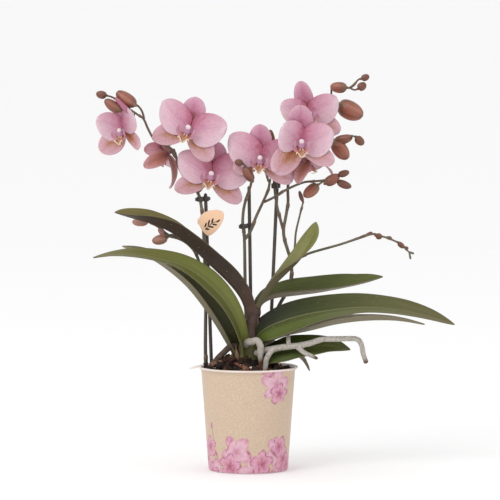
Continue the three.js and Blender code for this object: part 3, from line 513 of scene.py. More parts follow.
# Stem skin: a smooth leathery skin, browner at the top and greener at the foot, with a mottled tone.
stem_skin, tree = start_material("living_stem_skin")
coords = add_node(tree, "TexCoord")
axes = add_node(tree, "SeparateXYZ", {}, {0: coords.outputs["Object"]})
high = add_node(tree, "MapRange", {"From Min": 92 * MM, "From Max": 140 * MM}, {0: axes.outputs["Z"]})
mottle = add_node(tree, "TexNoise", {"Scale": 1000 / 5, "Detail": 5}, {"Vector": coords.outputs["Object"]})
blend = add_node(tree, "Math", {"operation": "MULTIPLY_ADD", 1: 0.6, 2: -0.3}, {0: mottle.outputs[0]})
tone = add_node(tree, "Math", {"operation": "ADD"}, {0: high.outputs[0], 1: blend.outputs[0]})
colour = add_node(tree, "ValToRGB", {"stops": [(0, "#686c38"), (0.3, "#64613a"), (0.55, "#54463a"),
                                               (0.8, "#4c3730"), (1, "#46332e")]}, {0: tone.outputs[0]})
soft = add_node(tree, "Bump", {"Strength": 0.35, "Distance": 0.0005}, {"Height": mottle.outputs[0]})
close_material(tree, {"Roughness": 0.6, "Specular IOR Level": 0.3},
               {"Base Color": colour.outputs[0], "Normal": soft.outputs[0]})

# Dead sheath: dry brown paper with lengthwise fibres.
sheath_paper, tree = start_material("dry_leaf_sheath")
coords = add_node(tree, "TexCoord")
stretch = add_node(tree, "Mapping", {"Scale": (24, 2, 1)}, {0: coords.outputs["UV"]})
strands = add_node(tree, "TexNoise", {"Scale": 1, "Detail": 4}, {"Vector": stretch.outputs[0]})
colour = add_node(tree, "ValToRGB", {"stops": [(0.3, "#4a3426"), (0.5, "#80634a"), (0.75, "#b09674")]},
                  {0: strands.outputs[0]})
ridges = add_node(tree, "Bump", {"Strength": 0.5, "Distance": 0.0003}, {"Height": strands.outputs[0]})
close_material(tree, {"Roughness": 0.75}, {"Base Color": colour.outputs[0], "Normal": ridges.outputs[0]})


def crown_radius(angle, t):
    spot = Vector((2 * math.cos(angle), 2 * math.sin(angle), 9 * t))
    rings = 0.35 * math.sin(46 * t) + 0.5 * noise.noise(spot)
    return (between(CROWN_RADII, t) + rings) * round_ends(t, 0.05)


bm = start_piece()
add_tube(bm, CROWN, crown_radius, 40, 90)
bmesh.ops.recalc_face_normals(bm, faces=bm.faces)
finish_piece(bm, "crown_stem", [stem_skin], ["crown"])


def add_blade(bm, surface, across, along, material=0):
    """Adds a sheet on surface(u, v), with u from -1 to 1 across and v from 0 to 1 along."""
    sheet = bmesh.ops.create_grid(bm, x_segments=across, y_segments=along, size=0.5, calc_uvs=True)["verts"]
    set_skin(sheet, material)
    for vert in sheet:
        vert.co = surface(2 * vert.co.x, vert.co.y + 0.5)
    return sheet


bm = start_piece()
for turned, low_edge, length, reach in ((200, 90, 20, 13.2), (250, 89, 15, 13.6), (300, 90, 13, 13.4),
                                        (150, 90, 17, 13), (225, 92, 24, 12.6), (20, 90, 16, 13)):
    middle_turn = math.radians(turned)

    def shred(u, v):
        angle = middle_turn + 0.42 * u * (1 - v) ** 0.6
        flare = reach - 1.6 * v + 2.6 * v ** 3 + 0.5 * math.sin(9 * u + 5 * v)
        return Vector((-1.6 + flare * math.cos(angle), flare * math.sin(angle),
                       low_edge - 2 + length * v * (1 - 0.15 * u * u)))

    add_blade(bm, shred, 8, 10)
shreds = finish_piece(bm, "crown_sheaths", [sheath_paper])
skin = shreds.modifiers.new("thickness", "SOLIDIFY")
skin.thickness, skin.offset = SHEATH_THICKNESS * MM, 0

# ---- Leaves ----
# Nine thick, leathery strap leaves that clasp the crown. Waxy green on top and browner underneath, folded up
# along the midrib and blunt at the tip.

LEAF_THICKNESS = 2.2

# Each leaf: its midrib, half its width, the share of that which its foot has, how far along it is full, the
# way its top looks, the angle its halves fold up by, in degrees, and how blunt it ends. Its two halves may
# differ: near and far widen or narrow one half along the leaf.
LEAVES = {
    "leaf_left_top": {
        "midrib": [[3, -3, 126], [-1, -4, 142], [-7, -6, 157], [-18, -8, 171], [-33, -10, 185.5],
                   [-50, -11, 201.5], [-68, -12, 215.5], [-87, -13, 224], [-104, -14, 229], [-120, -14, 234]],
        "half": 14.5, "foot": 0.6, "full": 0.4, "fold": [62, 60, 50, 30], "blunt": 6,
        "near": [1, 1, 1, 1, 1.15, 1.2], "far": [1, 1, 1, 1.05, 1.3, 1.35],
        "looks": [[0.85, 0.1, 0.5], [0.55, 0.3, 0.78], [0.3, 0, 0.95], [0.1, -0.4, 0.9]],
    },
    "leaf_left_front": {
        "midrib": [[-3, -9, 106], [-6, -14, 120], [-11, -19, 136], [-19, -23, 151], [-30, -26, 164.5],
                   [-44, -28, 177], [-61, -29, 187], [-81, -30, 193], [-102, -30, 196.5], [-121, -29, 196.5],
                   [-139, -27, 194]],
        "half": 16.5, "foot": 0.45, "full": 0.5, "fold": [26, 24, 18, 12],
        "near": [1.2, 1.38, 1.42, 1.38, 1.2, 1, 1, 1],
        "looks": [[0.75, -0.6, 0.25], [0.5, -0.6, 0.7], [0.2, -0.35, 0.9], [0, -0.2, 0.95]],
    },
    "leaf_left_low": {
        "midrib": [[-9, -1, 98], [-17, -4, 112], [-28, -7, 131], [-41, -8, 150], [-56, -7, 168],
                   [-74, -4, 183], [-94, 2, 195], [-114, 7, 202]],
        "half": 18, "foot": 0.5, "full": 0.5, "fold": [40, 36, 26], "near": [0.7, 0.6, 0.6, 0.65, 0.8, 1],
        "far": [1.2, 1.5, 1.5, 1.3, 1, 1], "looks": [[0.7, -0.3, 0.62], [0.5, -0.1, 0.8], [0.25, -0.1, 0.95]],
    },
    "leaf_right_top": {
        "midrib": [[9, -1, 146], [14, 1, 152], [24, 4, 156], [42, 8, 158], [64, 11, 160.5], [88, 12, 165],
                   [106, 12, 169], [122, 12, 174]],
        "half": 17, "foot": 0.4, "full": 0.6, "looks": [[-0.4, -0.2, 0.9], [0, -0.38, 0.95]],
        "fold": [42, 32, 24], "near": [1, 1.25, 1.3, 1.2, 1, 1],
    },
    "leaf_right_front": {
        "midrib": [[4, -6, 114], [11, -10, 125], [24, -15, 133], [46, -20, 140.5], [73, -25, 146],
                   [103, -28, 149], [133, -30, 147], [160, -30, 141.5], [185, -29, 134]],
        "half": 21, "foot": 0.5, "full": 0.45, "fold": [10, 5, 14, 17, 14],
        "looks": [[-0.4, -0.75, 0.5], [-0.2, -0.74, 0.66], [0, -0.52, 0.85], [0.05, -0.42, 0.9],
                  [0.1, -0.45, 0.88]],
        "near": [1, 1, 0.95, 0.95, 1], "far": [0.8, 1.02, 0.95, 0.82, 0.8, 0.8],
    },
    "leaf_right_low": {
        "midrib": [[8, 0, 108], [18, 1, 116], [34, 3, 122], [56, 5, 126.5], [80, 7, 132], [106, 8, 135],
                   [134, 8, 135], [160, 8, 131]],
        "half": 14, "foot": 0.5, "full": 0.5, "looks": [[-0.3, -0.35, 0.88], [0.05, 0.2, 0.97]],
        "fold": [34, 30, 24],
    },
    "leaf_right_short": {
        "midrib": [[7, -7, 97], [17, -9, 104], [33, -11, 109], [52, -12, 112], [72, -12, 113],
                   [92, -12, 110]],
        "half": 16, "foot": 0.45, "full": 0.5, "looks": [[-0.2, -0.6, 0.75], [0, -0.5, 0.86]],
        "fold": [14, 14, 10], "far": [1.2, 1.45, 1.4, 1.2, 1, 1],
    },
    "leaf_right_back": {
        "midrib": [[6, 7, 103], [14, 11, 109], [24, 15, 111], [36, 21, 107], [46, 29, 100], [51.5, 34, 94],
                   [56, 37, 86]],
        "half": 10, "foot": 0.6, "full": 0.4, "blunt": 1.8,
        "looks": [[-0.3, -0.3, 0.9], [0.3, 0, 0.9], [0.75, 0.15, 0.65]], "fold": [30, 22, 14],
    },
    "leaf_young": {
        "midrib": [[9, -5, 147], [15, -8, 157], [24, -10, 169], [35, -10, 180], [45, -10, 190],
                   [52.5, -9, 201], [58, -8, 213], [61, -7, 225]],
        "half": 12.5, "foot": 0.3, "full": 0.75,
        "looks": [[-0.7, 0, 0.7], [-0.6, -0.4, 0.6], [-0.35, -0.9, 0.2]], "fold": [70, 62, 36, 10],
    },
}

# Each leaf's colours from foot to tip on its top, then underneath, and on each side a painted shade across
# it:
# how bright it is from one edge to the other, darker on the half of the fold that is in shade.
LEAF_COLOURS = {
    "leaf_left_top": (["#5b5034", "#5f6034", "#777042"], ["#5a443a", "#3b2f28", "#48392f"], [0.9, 1, 1],
                      [1, 1, 1]),
    "leaf_left_front": (["#70773a", "#6b7336", "#716f42"], ["#5c5040", "#6b604b", "#6f6650"],
                        [0.9, 0.95, 1.1], [1, 1, 1]),
    "leaf_left_low": (["#464a22", "#4a4c26", "#6f7048"], ["#666344", "#736d56", "#847e68"], [0.9, 0.9, 1],
                      [1, 1.05, 0.6]),
    "leaf_right_top": (["#525a2c", "#4f5a2b", "#5c6533"], ["#6e6452", "#948a74", "#8b806c"], [1, 1, 0.8],
                       [1, 1, 1]),
    "leaf_right_front": (["#55652c", "#58652e", "#6c6642"], ["#5a5040", "#5f5344", "#6b5c4a"],
                         [0.34, 0.54, 1.1], [1, 1, 1]),
    "leaf_right_low": (["#4c5230", "#77745c", "#7c7862"], ["#625c46", "#8f8a72", "#867f6a"], [1, 1, 1],
                       [1, 1, 1]),
    "leaf_right_short": (["#4a5a2a", "#55652f", "#5f6a36"], ["#4c463c", "#5c5548", "#5c5548"],
                         [0.55, 0.9, 1.1], [1, 1, 1]),
    "leaf_right_back": (["#4a4c34", "#5c5b44", "#66634f"], ["#5b5644", "#66604f", "#6a6454"], [1, 1, 1],
                        [1, 1, 1]),
    "leaf_young": (["#7c7c50", "#8f9058", "#7c8048"], ["#6a634c", "#6a6450", "#6c6a48"], [0.8, 1.05, 0.8],
                   [1, 1, 1]),
}


def smooth_step(x):
    x = min(max(x, 0), 1)
    return x * x * (3 - 2 * x)


def leaf_outline(v, foot, full, blunt):
    """Half the width at v, as a share of the greatest: a narrow foot and a more or less blunt tip."""
    return (foot + (1 - foot) * smooth_step(v / full)) * max(0.02, (1 - v ** blunt) ** 0.72)


def leaf_skin(name, colours, across, shine):
    """Cuticle of a leaf: waxy and satin, finely lined, with a groove, pale specks and a thin edge."""
    material, tree = start_material(name)
    coords = add_node(tree, "TexCoord")
    sides = add_node(tree, "SeparateXYZ", {}, {0: coords.outputs["UV"]})
    stretch = add_node(tree, "Mapping", {"Scale": (46, 1.6, 1)}, {0: coords.outputs["UV"]})
    lines = add_node(tree, "TexNoise", {"Scale": 1, "Detail": 4, "Roughness": 0.65},
                     {"Vector": stretch.outputs[0]})
    mottle = add_node(tree, "TexNoise", {"Scale": 1000 / 11, "Detail": 4},
                      {"Vector": coords.outputs["Object"]})
    drift = add_node(tree, "Math", {"operation": "MULTIPLY_ADD", 1: 0.5, 2: -0.25}, {0: mottle.outputs[0]})
    along = add_node(tree, "Math", {"operation": "ADD"}, {0: sides.outputs["Y"], 1: drift.outputs[0]})
    base = add_node(tree, "ValToRGB", {"stops": list(zip((0.05, 0.45, 0.95), colours))},
                    {0: along.outputs[0]})
    # Painted shade: across darkens one half of the leaf's fold against the other, most at its foot and fading
    # towards its tip.
    painted_shade_greys = ["#" + 3 * f"{round(255 * min(level / 1.1, 1)):02x}" for level in across]
    halves = add_node(tree, "ValToRGB", {"stops": list(zip((0.15, 0.45, 0.7), painted_shade_greys))},
                      {0: sides.outputs["X"]})
    near_foot = add_node(tree, "MapRange", {"From Min": 0.25, "From Max": 0.75, "To Min": 1, "To Max": 0.15},
                         {0: sides.outputs["Y"]})
    shaded = add_node(tree, "Mix", {"data_type": "RGBA", "blend_type": "MULTIPLY"},
                      {0: near_foot.outputs[0], 6: base.outputs[0], 7: halves.outputs[0]})
    streak = add_node(tree, "ValToRGB", {"stops": [(0.32, "#8e7458"), (0.48, "#f0ece0"), (0.7, "#fff6d8")]},
                      {0: lines.outputs[0]})
    lined = add_node(tree, "Mix", {"data_type": "RGBA", "blend_type": "MULTIPLY", 0: 0.75},
                     {6: shaded.outputs[2], 7: streak.outputs[0]})
    off = add_node(tree, "Math", {"operation": "SUBTRACT", 1: 0.5}, {0: sides.outputs["X"]})
    from_rib = add_node(tree, "Math", {"operation": "ABSOLUTE"}, {0: off.outputs[0]})
    rib = add_node(tree, "MapRange", {"From Min": 0.008, "From Max": 0.035, "To Min": 0.5, "To Max": 0},
                   {0: from_rib.outputs[0]})
    ribbed = add_node(tree, "Mix", {"data_type": "RGBA", 7: "#858058"},
                      {0: rib.outputs[0], 6: lined.outputs[2]})
    margin = add_node(tree, "MapRange", {"From Min": 0.465, "From Max": 0.495, "To Min": 0, "To Max": 0.6},
                      {0: from_rib.outputs[0]})
    edged = add_node(tree, "Mix", {"data_type": "RGBA", 7: "#6a5a48"},
                     {0: margin.outputs[0], 6: ribbed.outputs[2]})
    dots = add_node(tree, "TexVoronoi", {"Scale": 1000 / 5.5}, {"Vector": coords.outputs["Object"]})
    speck = add_node(tree, "MapRange", {"From Min": 0.05, "From Max": 0.09, "To Min": 0.45, "To Max": 0},
                     {0: dots.outputs["Distance"]})
    specked = add_node(tree, "Mix", {"data_type": "RGBA", 7: "#a8a884"},
                       {0: speck.outputs[0], 6: edged.outputs[2]})
    gloss = add_node(tree, "MapRange", {"To Min": shine - 0.08, "To Max": shine + 0.12},
                     {0: mottle.outputs[0]})
    grain = add_node(tree, "Bump", {"Strength": 0.3, "Distance": 0.0003}, {"Height": lines.outputs[0]})
    close_material(tree,
                   {"IOR": 1.45, "Specular IOR Level": 0.35, "Coat Weight": 0.05, "Coat Roughness": 0.3},
                   {"Base Color": specked.outputs[2], "Roughness": gloss.outputs[0],
                    "Normal": grain.outputs[0]})
    return material


def give_flesh(piece, thickness, back_skin=0):
    """Gives a soft sheet its thickness and rounds it. Each back has the skin back_skin slots further on."""
    flesh = piece.modifiers.new("flesh", "SOLIDIFY")
    flesh.thickness, flesh.offset, flesh.material_offset = thickness * MM, 0, back_skin
    rounding = piece.modifiers.new("rounding", "SUBSURF")
    rounding.levels = rounding.render_levels = 1
    return flesh


for number, (name, leaf) in enumerate(LEAVES.items()):
    line, facing = smooth_line(leaf["midrib"]), smooth_line(leaf["looks"])
    bm = start_piece()
    weight_layer = bm.verts.layers.deform.verify()

    def leaf_surface(u, v):
        ahead = heading(line, v)
        side = ahead.cross(facing(v)).normalized()
        up = side.cross(ahead)
        reach = leaf["half"] * leaf_outline(v, leaf["foot"], leaf["full"], leaf.get("blunt", 4.5))
        reach *= between(leaf.get("near" if u < 0 else "far", [1]), v)
        angle = math.radians(between(leaf["fold"], v))
        wave = 0.9 * u * u * noise.noise(Vector((1.5 * u, 5 * v, 10 * number)))
        crease = math.sqrt(u * u + 0.004) - 0.063  # the fold is rounded, with a fine groove at its bottom
        groove = -0.5 * math.exp(-(u / 0.07) ** 2) * (1 - v)
        lift = reach * crease * math.sin(angle) + wave + groove
        return line(v) + side * (reach * u * math.cos(angle)) + up * lift

    add_blade(bm, leaf_surface, 24, 72)
    uv = bm.loops.layers.uv.active
    for face in bm.faces:
        for loop in face.loops:
            across, along = loop[uv].uv
            loop.vert[weight_layer][0] = (1 - 0.55 * abs(2 * across - 1)) * (1 - 0.4 * along)
    top_colours, under_colours, top_painted_shade, under_painted_shade = LEAF_COLOURS[name]
    top_skin = leaf_skin(name + "_top_cuticle", top_colours, top_painted_shade, 0.45)
    under_skin = leaf_skin(name + "_under_cuticle", under_colours, under_painted_shade, 0.55)
    piece = finish_piece(bm, name + "_blade", [top_skin, under_skin], [name])
    piece.vertex_groups.new(name="thickness")
    give_flesh(piece, LEAF_THICKNESS, 1).vertex_group = "thickness"

# ---- Stakes, clips and tag ----
# Three dark brown plastic canes pushed into the bark, injection-moulded black clips that hold the stalks to
# them, and a peach card tag with a band round the left cane and its stalk.

STAKES = {
    "stake_left": [[-30.6, 14, 14], [-38.7, 14, 250]],
    "stake_middle": [[4.3, 27, 14], [0.7, 23, 256]],
    "stake_right": [[15.6, 28, 14], [26.9, 25, 272]],
}
STAKE_RADIUS = 1.6
CLIP_RING = (3, 2.1, 4.4)  # outer radius, bore radius and height
TAG_BAND = (6.6, 5.7, 5)
CARD_THICKNESS = 0.8

# Each clip: the places on the stake and on the stalk that its two rings hold.
CLIPS = {
    "clip_left": {"stake": [-38.5, 14, 244.5], "stalk": [-43.6, 8, 244.5]},
    "clip_middle": {"stake": [1.3, 23.6, 219.5], "stalk": [-4.8, 14.4, 219.5]},
    "clip_right": {"stake": [26.3, 25.1, 256], "stalk": [23.8, 18.3, 256]},
}

# Cane: dark brown moulded plastic with fine lengthwise flow lines and a dull gloss.
cane_plastic, tree = start_material("moulded_brown_cane")
place = add_node(tree, "TexCoord").outputs["Object"]
stretch = add_node(tree, "Mapping", {"Scale": (1, 1, 0.05)}, {0: place})
flow = add_node(tree, "TexNoise", {"Scale": 1000 / 0.7, "Detail": 3}, {"Vector": stretch.outputs[0]})
colour = add_node(tree, "ValToRGB", {"stops": [(0.3, "#3a302c"), (0.7, "#55493f")]}, {0: flow.outputs[0]})
lines = add_node(tree, "Bump", {"Strength": 0.4, "Distance": 0.0003}, {"Height": flow.outputs[0]})
close_material(tree, {"Roughness": 0.45, "IOR": 1.5},
               {"Base Color": colour.outputs[0], "Normal": lines.outputs[0]})

# Clip: near-black polypropylene, satin from the mould.
clip_plastic, tree = start_material("moulded_black_clip")
place = add_node(tree, "TexCoord").outputs["Object"]
grain = add_node(tree, "TexNoise", {"Scale": 1000 / 0.9, "Detail": 3}, {"Vector": place})
colour = add_node(tree, "ValToRGB", {"stops": [(0.3, "#2e2825"), (0.7, "#433a35")]}, {0: grain.outputs[0]})
satin = add_node(tree, "Bump", {"Strength": 0.2, "Distance": 0.0002}, {"Height": grain.outputs[0]})
close_material(tree, {"Roughness": 0.42, "IOR": 1.49},
               {"Base Color": colour.outputs[0], "Normal": satin.outputs[0]})

for name, ends in STAKES.items():
    bm = start_piece()
    length = (Vector(ends[1]) - Vector(ends[0])).length
    add_tube(bm, ends, lambda angle, t: STAKE_RADIUS * round_ends(t, 1.2 / length), 20, 160)
    bmesh.ops.recalc_face_normals(bm, faces=bm.faces)
    finish_piece(bm, name + "_cane", [cane_plastic], [name])


def add_ring(bm, outer, bore, height, middle):
    """A turned ring with rounded edges, at a place."""
    soft = 0.3
    verts = [bm.verts.new(middle + Vector((radius, 0, level))) for radius, level in (
        (bore, soft - height / 2), (bore + soft, -height / 2), (outer - soft, -height / 2),
        (outer, soft - height / 2), (outer, height / 2 - soft), (outer - soft, height / 2),
        (bore + soft, height / 2), (bore, height / 2 - soft))]
    edges = [bm.edges.new((verts[i - 1], verts[i])) for i in range(len(verts))]
    bmesh.ops.spin(bm, geom=verts + edges, cent=middle, axis=(0, 0, 1), angle=2 * math.pi, steps=40,
                   use_merge=True)


def add_block(bm, size, middle):
    """A block with rounded edges, at a place."""
    block = bmesh.ops.create_cube(bm, size=1)["verts"]
    bmesh.ops.scale(bm, vec=size, verts=block)
    bmesh.ops.translate(bm, vec=middle, verts=block)
    soften_edges(bm, list({edge for vert in block for edge in vert.link_edges}), 0.35, 3)


for name, clip in CLIPS.items():
    across = Vector(clip["stalk"]) - Vector(clip["stake"])
    reach = across.length
    bm = start_piece()
    for x in (0, reach):
        add_ring(bm, *CLIP_RING, Vector((x, 0, 0)))
    add_block(bm, (reach - 4.8, 2.4, 4), (reach / 2, 0, 0))
    for x in (-4.3, reach + 4.3):
        add_block(bm, (3.2, 1.5, 3), (x, 0, 0))
        for level in (-0.9, 0, 0.9):
            add_block(bm, (3, 1.9, 0.5), (x, 0, level))
    bmesh.ops.recalc_face_normals(bm, faces=bm.faces)
    towards_stalk = Matrix.Rotation(math.atan2(across.y, across.x), 3, "Z")
    bmesh.ops.rotate(bm, cent=(0, 0, 0), matrix=towards_stalk, verts=bm.verts)
    bmesh.ops.translate(bm, vec=clip["stake"], verts=bm.verts)
    finish_piece(bm, name + "_moulding", [clip_plastic], [name], sharp=40)

# Tag card: smooth peach board with a thin pale pink edge and a small sprig printed in black-brown.
TAG_MIDDLE = Vector((-33.3, 0, 224))
tag_card, tree = start_material("printed_tag_card")
place = add_node(tree, "TexCoord").outputs["Object"]
fuzz = add_node(tree, "TexNoise", {"Scale": 1000 / 0.6, "Detail": 4}, {"Vector": place})
board = add_node(tree, "ValToRGB", {"stops": [(0.3, "#eabd98"), (0.7, "#f0c9a8")]}, {0: fuzz.outputs[0]})
centred = add_node(tree, "Mapping", {"Location": tuple((-TAG_MIDDLE + Vector((0, 0, 1.5))) * MM)}, {0: place})
tilted = add_node(tree, "Mapping", {"Rotation": (0, math.radians(32), 0), "Scale": (1000, 1000, 1000)},
                  {0: centred.outputs[0]})
sides = add_node(tree, "SeparateXYZ", {}, {0: tilted.outputs[0]})
stem_bow = add_node(tree, "Math", {"operation": "MULTIPLY"}, {0: sides.outputs["X"], 1: sides.outputs["X"]})
stem_line = add_node(tree, "Math", {"operation": "MULTIPLY_ADD", 1: 0.03},
                     {0: stem_bow.outputs[0], 2: sides.outputs["Z"]})
stem_off = add_node(tree, "Math", {"operation": "ABSOLUTE"}, {0: stem_line.outputs[0]})
stem_near = add_node(tree, "MapRange", {"From Min": 0.25, "From Max": 0.4, "To Min": 1, "To Max": 0},
                     {0: stem_off.outputs[0]})
stem_far = add_node(tree, "Math", {"operation": "ABSOLUTE"}, {0: sides.outputs["X"]})
stem_long = add_node(tree, "MapRange", {"From Min": 7.4, "From Max": 7.6, "To Min": 1, "To Max": 0},
                     {0: stem_far.outputs[0]})
stem_ink = add_node(tree, "Math", {"operation": "MULTIPLY"},
                    {0: stem_near.outputs[0], 1: stem_long.outputs[0]})
ink = stem_ink.outputs[0]
# Seven slender leaves: each an ellipse with its own middle, slant and half length in millimetres.
for leaf_x, leaf_z, slant, half_long in ((-5, 1.7, 40, 2.4), (-5.6, -2.2, -40, 2.2), (-1.4, 2.1, 42, 2.9),
                                         (-1.8, -2.1, -42, 2.8), (2.3, 1.8, 40, 2.5), (2.2, -2.2, -40, 2.4),
                                         (6.6, -1.2, 4, 2.2)):
    leaf_at = add_node(tree, "Mapping", {"vector_type": "TEXTURE", "Location": (leaf_x, 0, leaf_z),
                                         "Rotation": (0, math.radians(-slant), 0),
                                         "Scale": (half_long, 1e6, 0.85)},
                       {0: tilted.outputs[0]})
    leaf_far = add_node(tree, "VectorMath", {"operation": "LENGTH"}, {0: leaf_at.outputs[0]})
    leaf_ink = add_node(tree, "MapRange", {"From Min": 0.9, "From Max": 1.05, "To Min": 1, "To Max": 0},
                        {0: leaf_far.outputs["Value"]})
    ink = add_node(tree, "Math", {"operation": "MAXIMUM"}, {0: leaf_ink.outputs[0], 1: ink}).outputs[0]
printed = add_node(tree, "Mix", {"data_type": "RGBA", 7: "#2b2320"}, {0: ink, 6: board.outputs[0]})
felt = add_node(tree, "Bump", {"Strength": 0.2, "Distance": 0.0001}, {"Height": fuzz.outputs[0]})
close_material(tree, {"Roughness": 0.55}, {"Base Color": printed.outputs[2], "Normal": felt.outputs[0]})

# Cut edge of the card: its pale pink core, a little fuzzy.
card_edge, tree = start_material("cut_card_edge")
place = add_node(tree, "TexCoord").outputs["Object"]
fuzz = add_node(tree, "TexNoise", {"Scale": 1000 / 0.5, "Detail": 4}, {"Vector": place})
core = add_node(tree, "ValToRGB", {"stops": [(0.3, "#d3b2b8"), (0.7, "#e6ccd0")]}, {0: fuzz.outputs[0]})
felt = add_node(tree, "Bump", {"Strength": 0.4, "Distance": 0.0001}, {"Height": fuzz.outputs[0]})
close_material(tree, {"Roughness": 0.8}, {"Base Color": core.outputs[0], "Normal": felt.outputs[0]})

bm = start_piece()
outline = []
for a, b, c, d in (((-4, -12), (-8, -9), (-11.5, -4), (-11.5, 1)),
                   ((-11.5, 1), (-11, 7), (-5, 10.5), (2, 11)),
                   ((2, 11), (8, 11.5), (12, 10), (11.5, 5)),
                   ((11.5, 5), (10.5, -2), (4, -10), (-1, -12)),
                   ((-1, -12), (-2, -12.6), (-3, -12.6), (-4, -12))):
    for step in range(1, 13):
        t = step / 12
        x, z = [(1 - t) ** 3 * p + 3 * t * (1 - t) ** 2 * q + 3 * t * t * (1 - t) * r + t ** 3 * s
                for p, q, r, s in zip(a, b, c, d)]
        outline.append(bm.verts.new((x, 5, z)))
raise_face(bm, bm.faces.new(outline), (0, -CARD_THICKNESS, 0))
for face in bm.faces:
    face.material_index = 0 if abs(face.normal.y) > 0.9 else 1
soften_edges(bm, [edge for edge in bm.edges if edge.calc_face_angle(0) > 1], 0.18, 2, material=1)
add_ring(bm, *TAG_BAND, Vector((-6, 11, 0)))
bmesh.ops.recalc_face_normals(bm, faces=bm.faces)
bmesh.ops.translate(bm, vec=TAG_MIDDLE, verts=bm.verts)
finish_piece(bm, "tag_card", [tag_card, card_edge], ["tag"], sharp=40)

# ---- Flower spikes ----
# Three living flower stalks with their side branches, thin and olive-brown, with a joint and a dry bract
# every few centimetres, and closed buds like small plums. Grown in one piece and tied to the stakes.

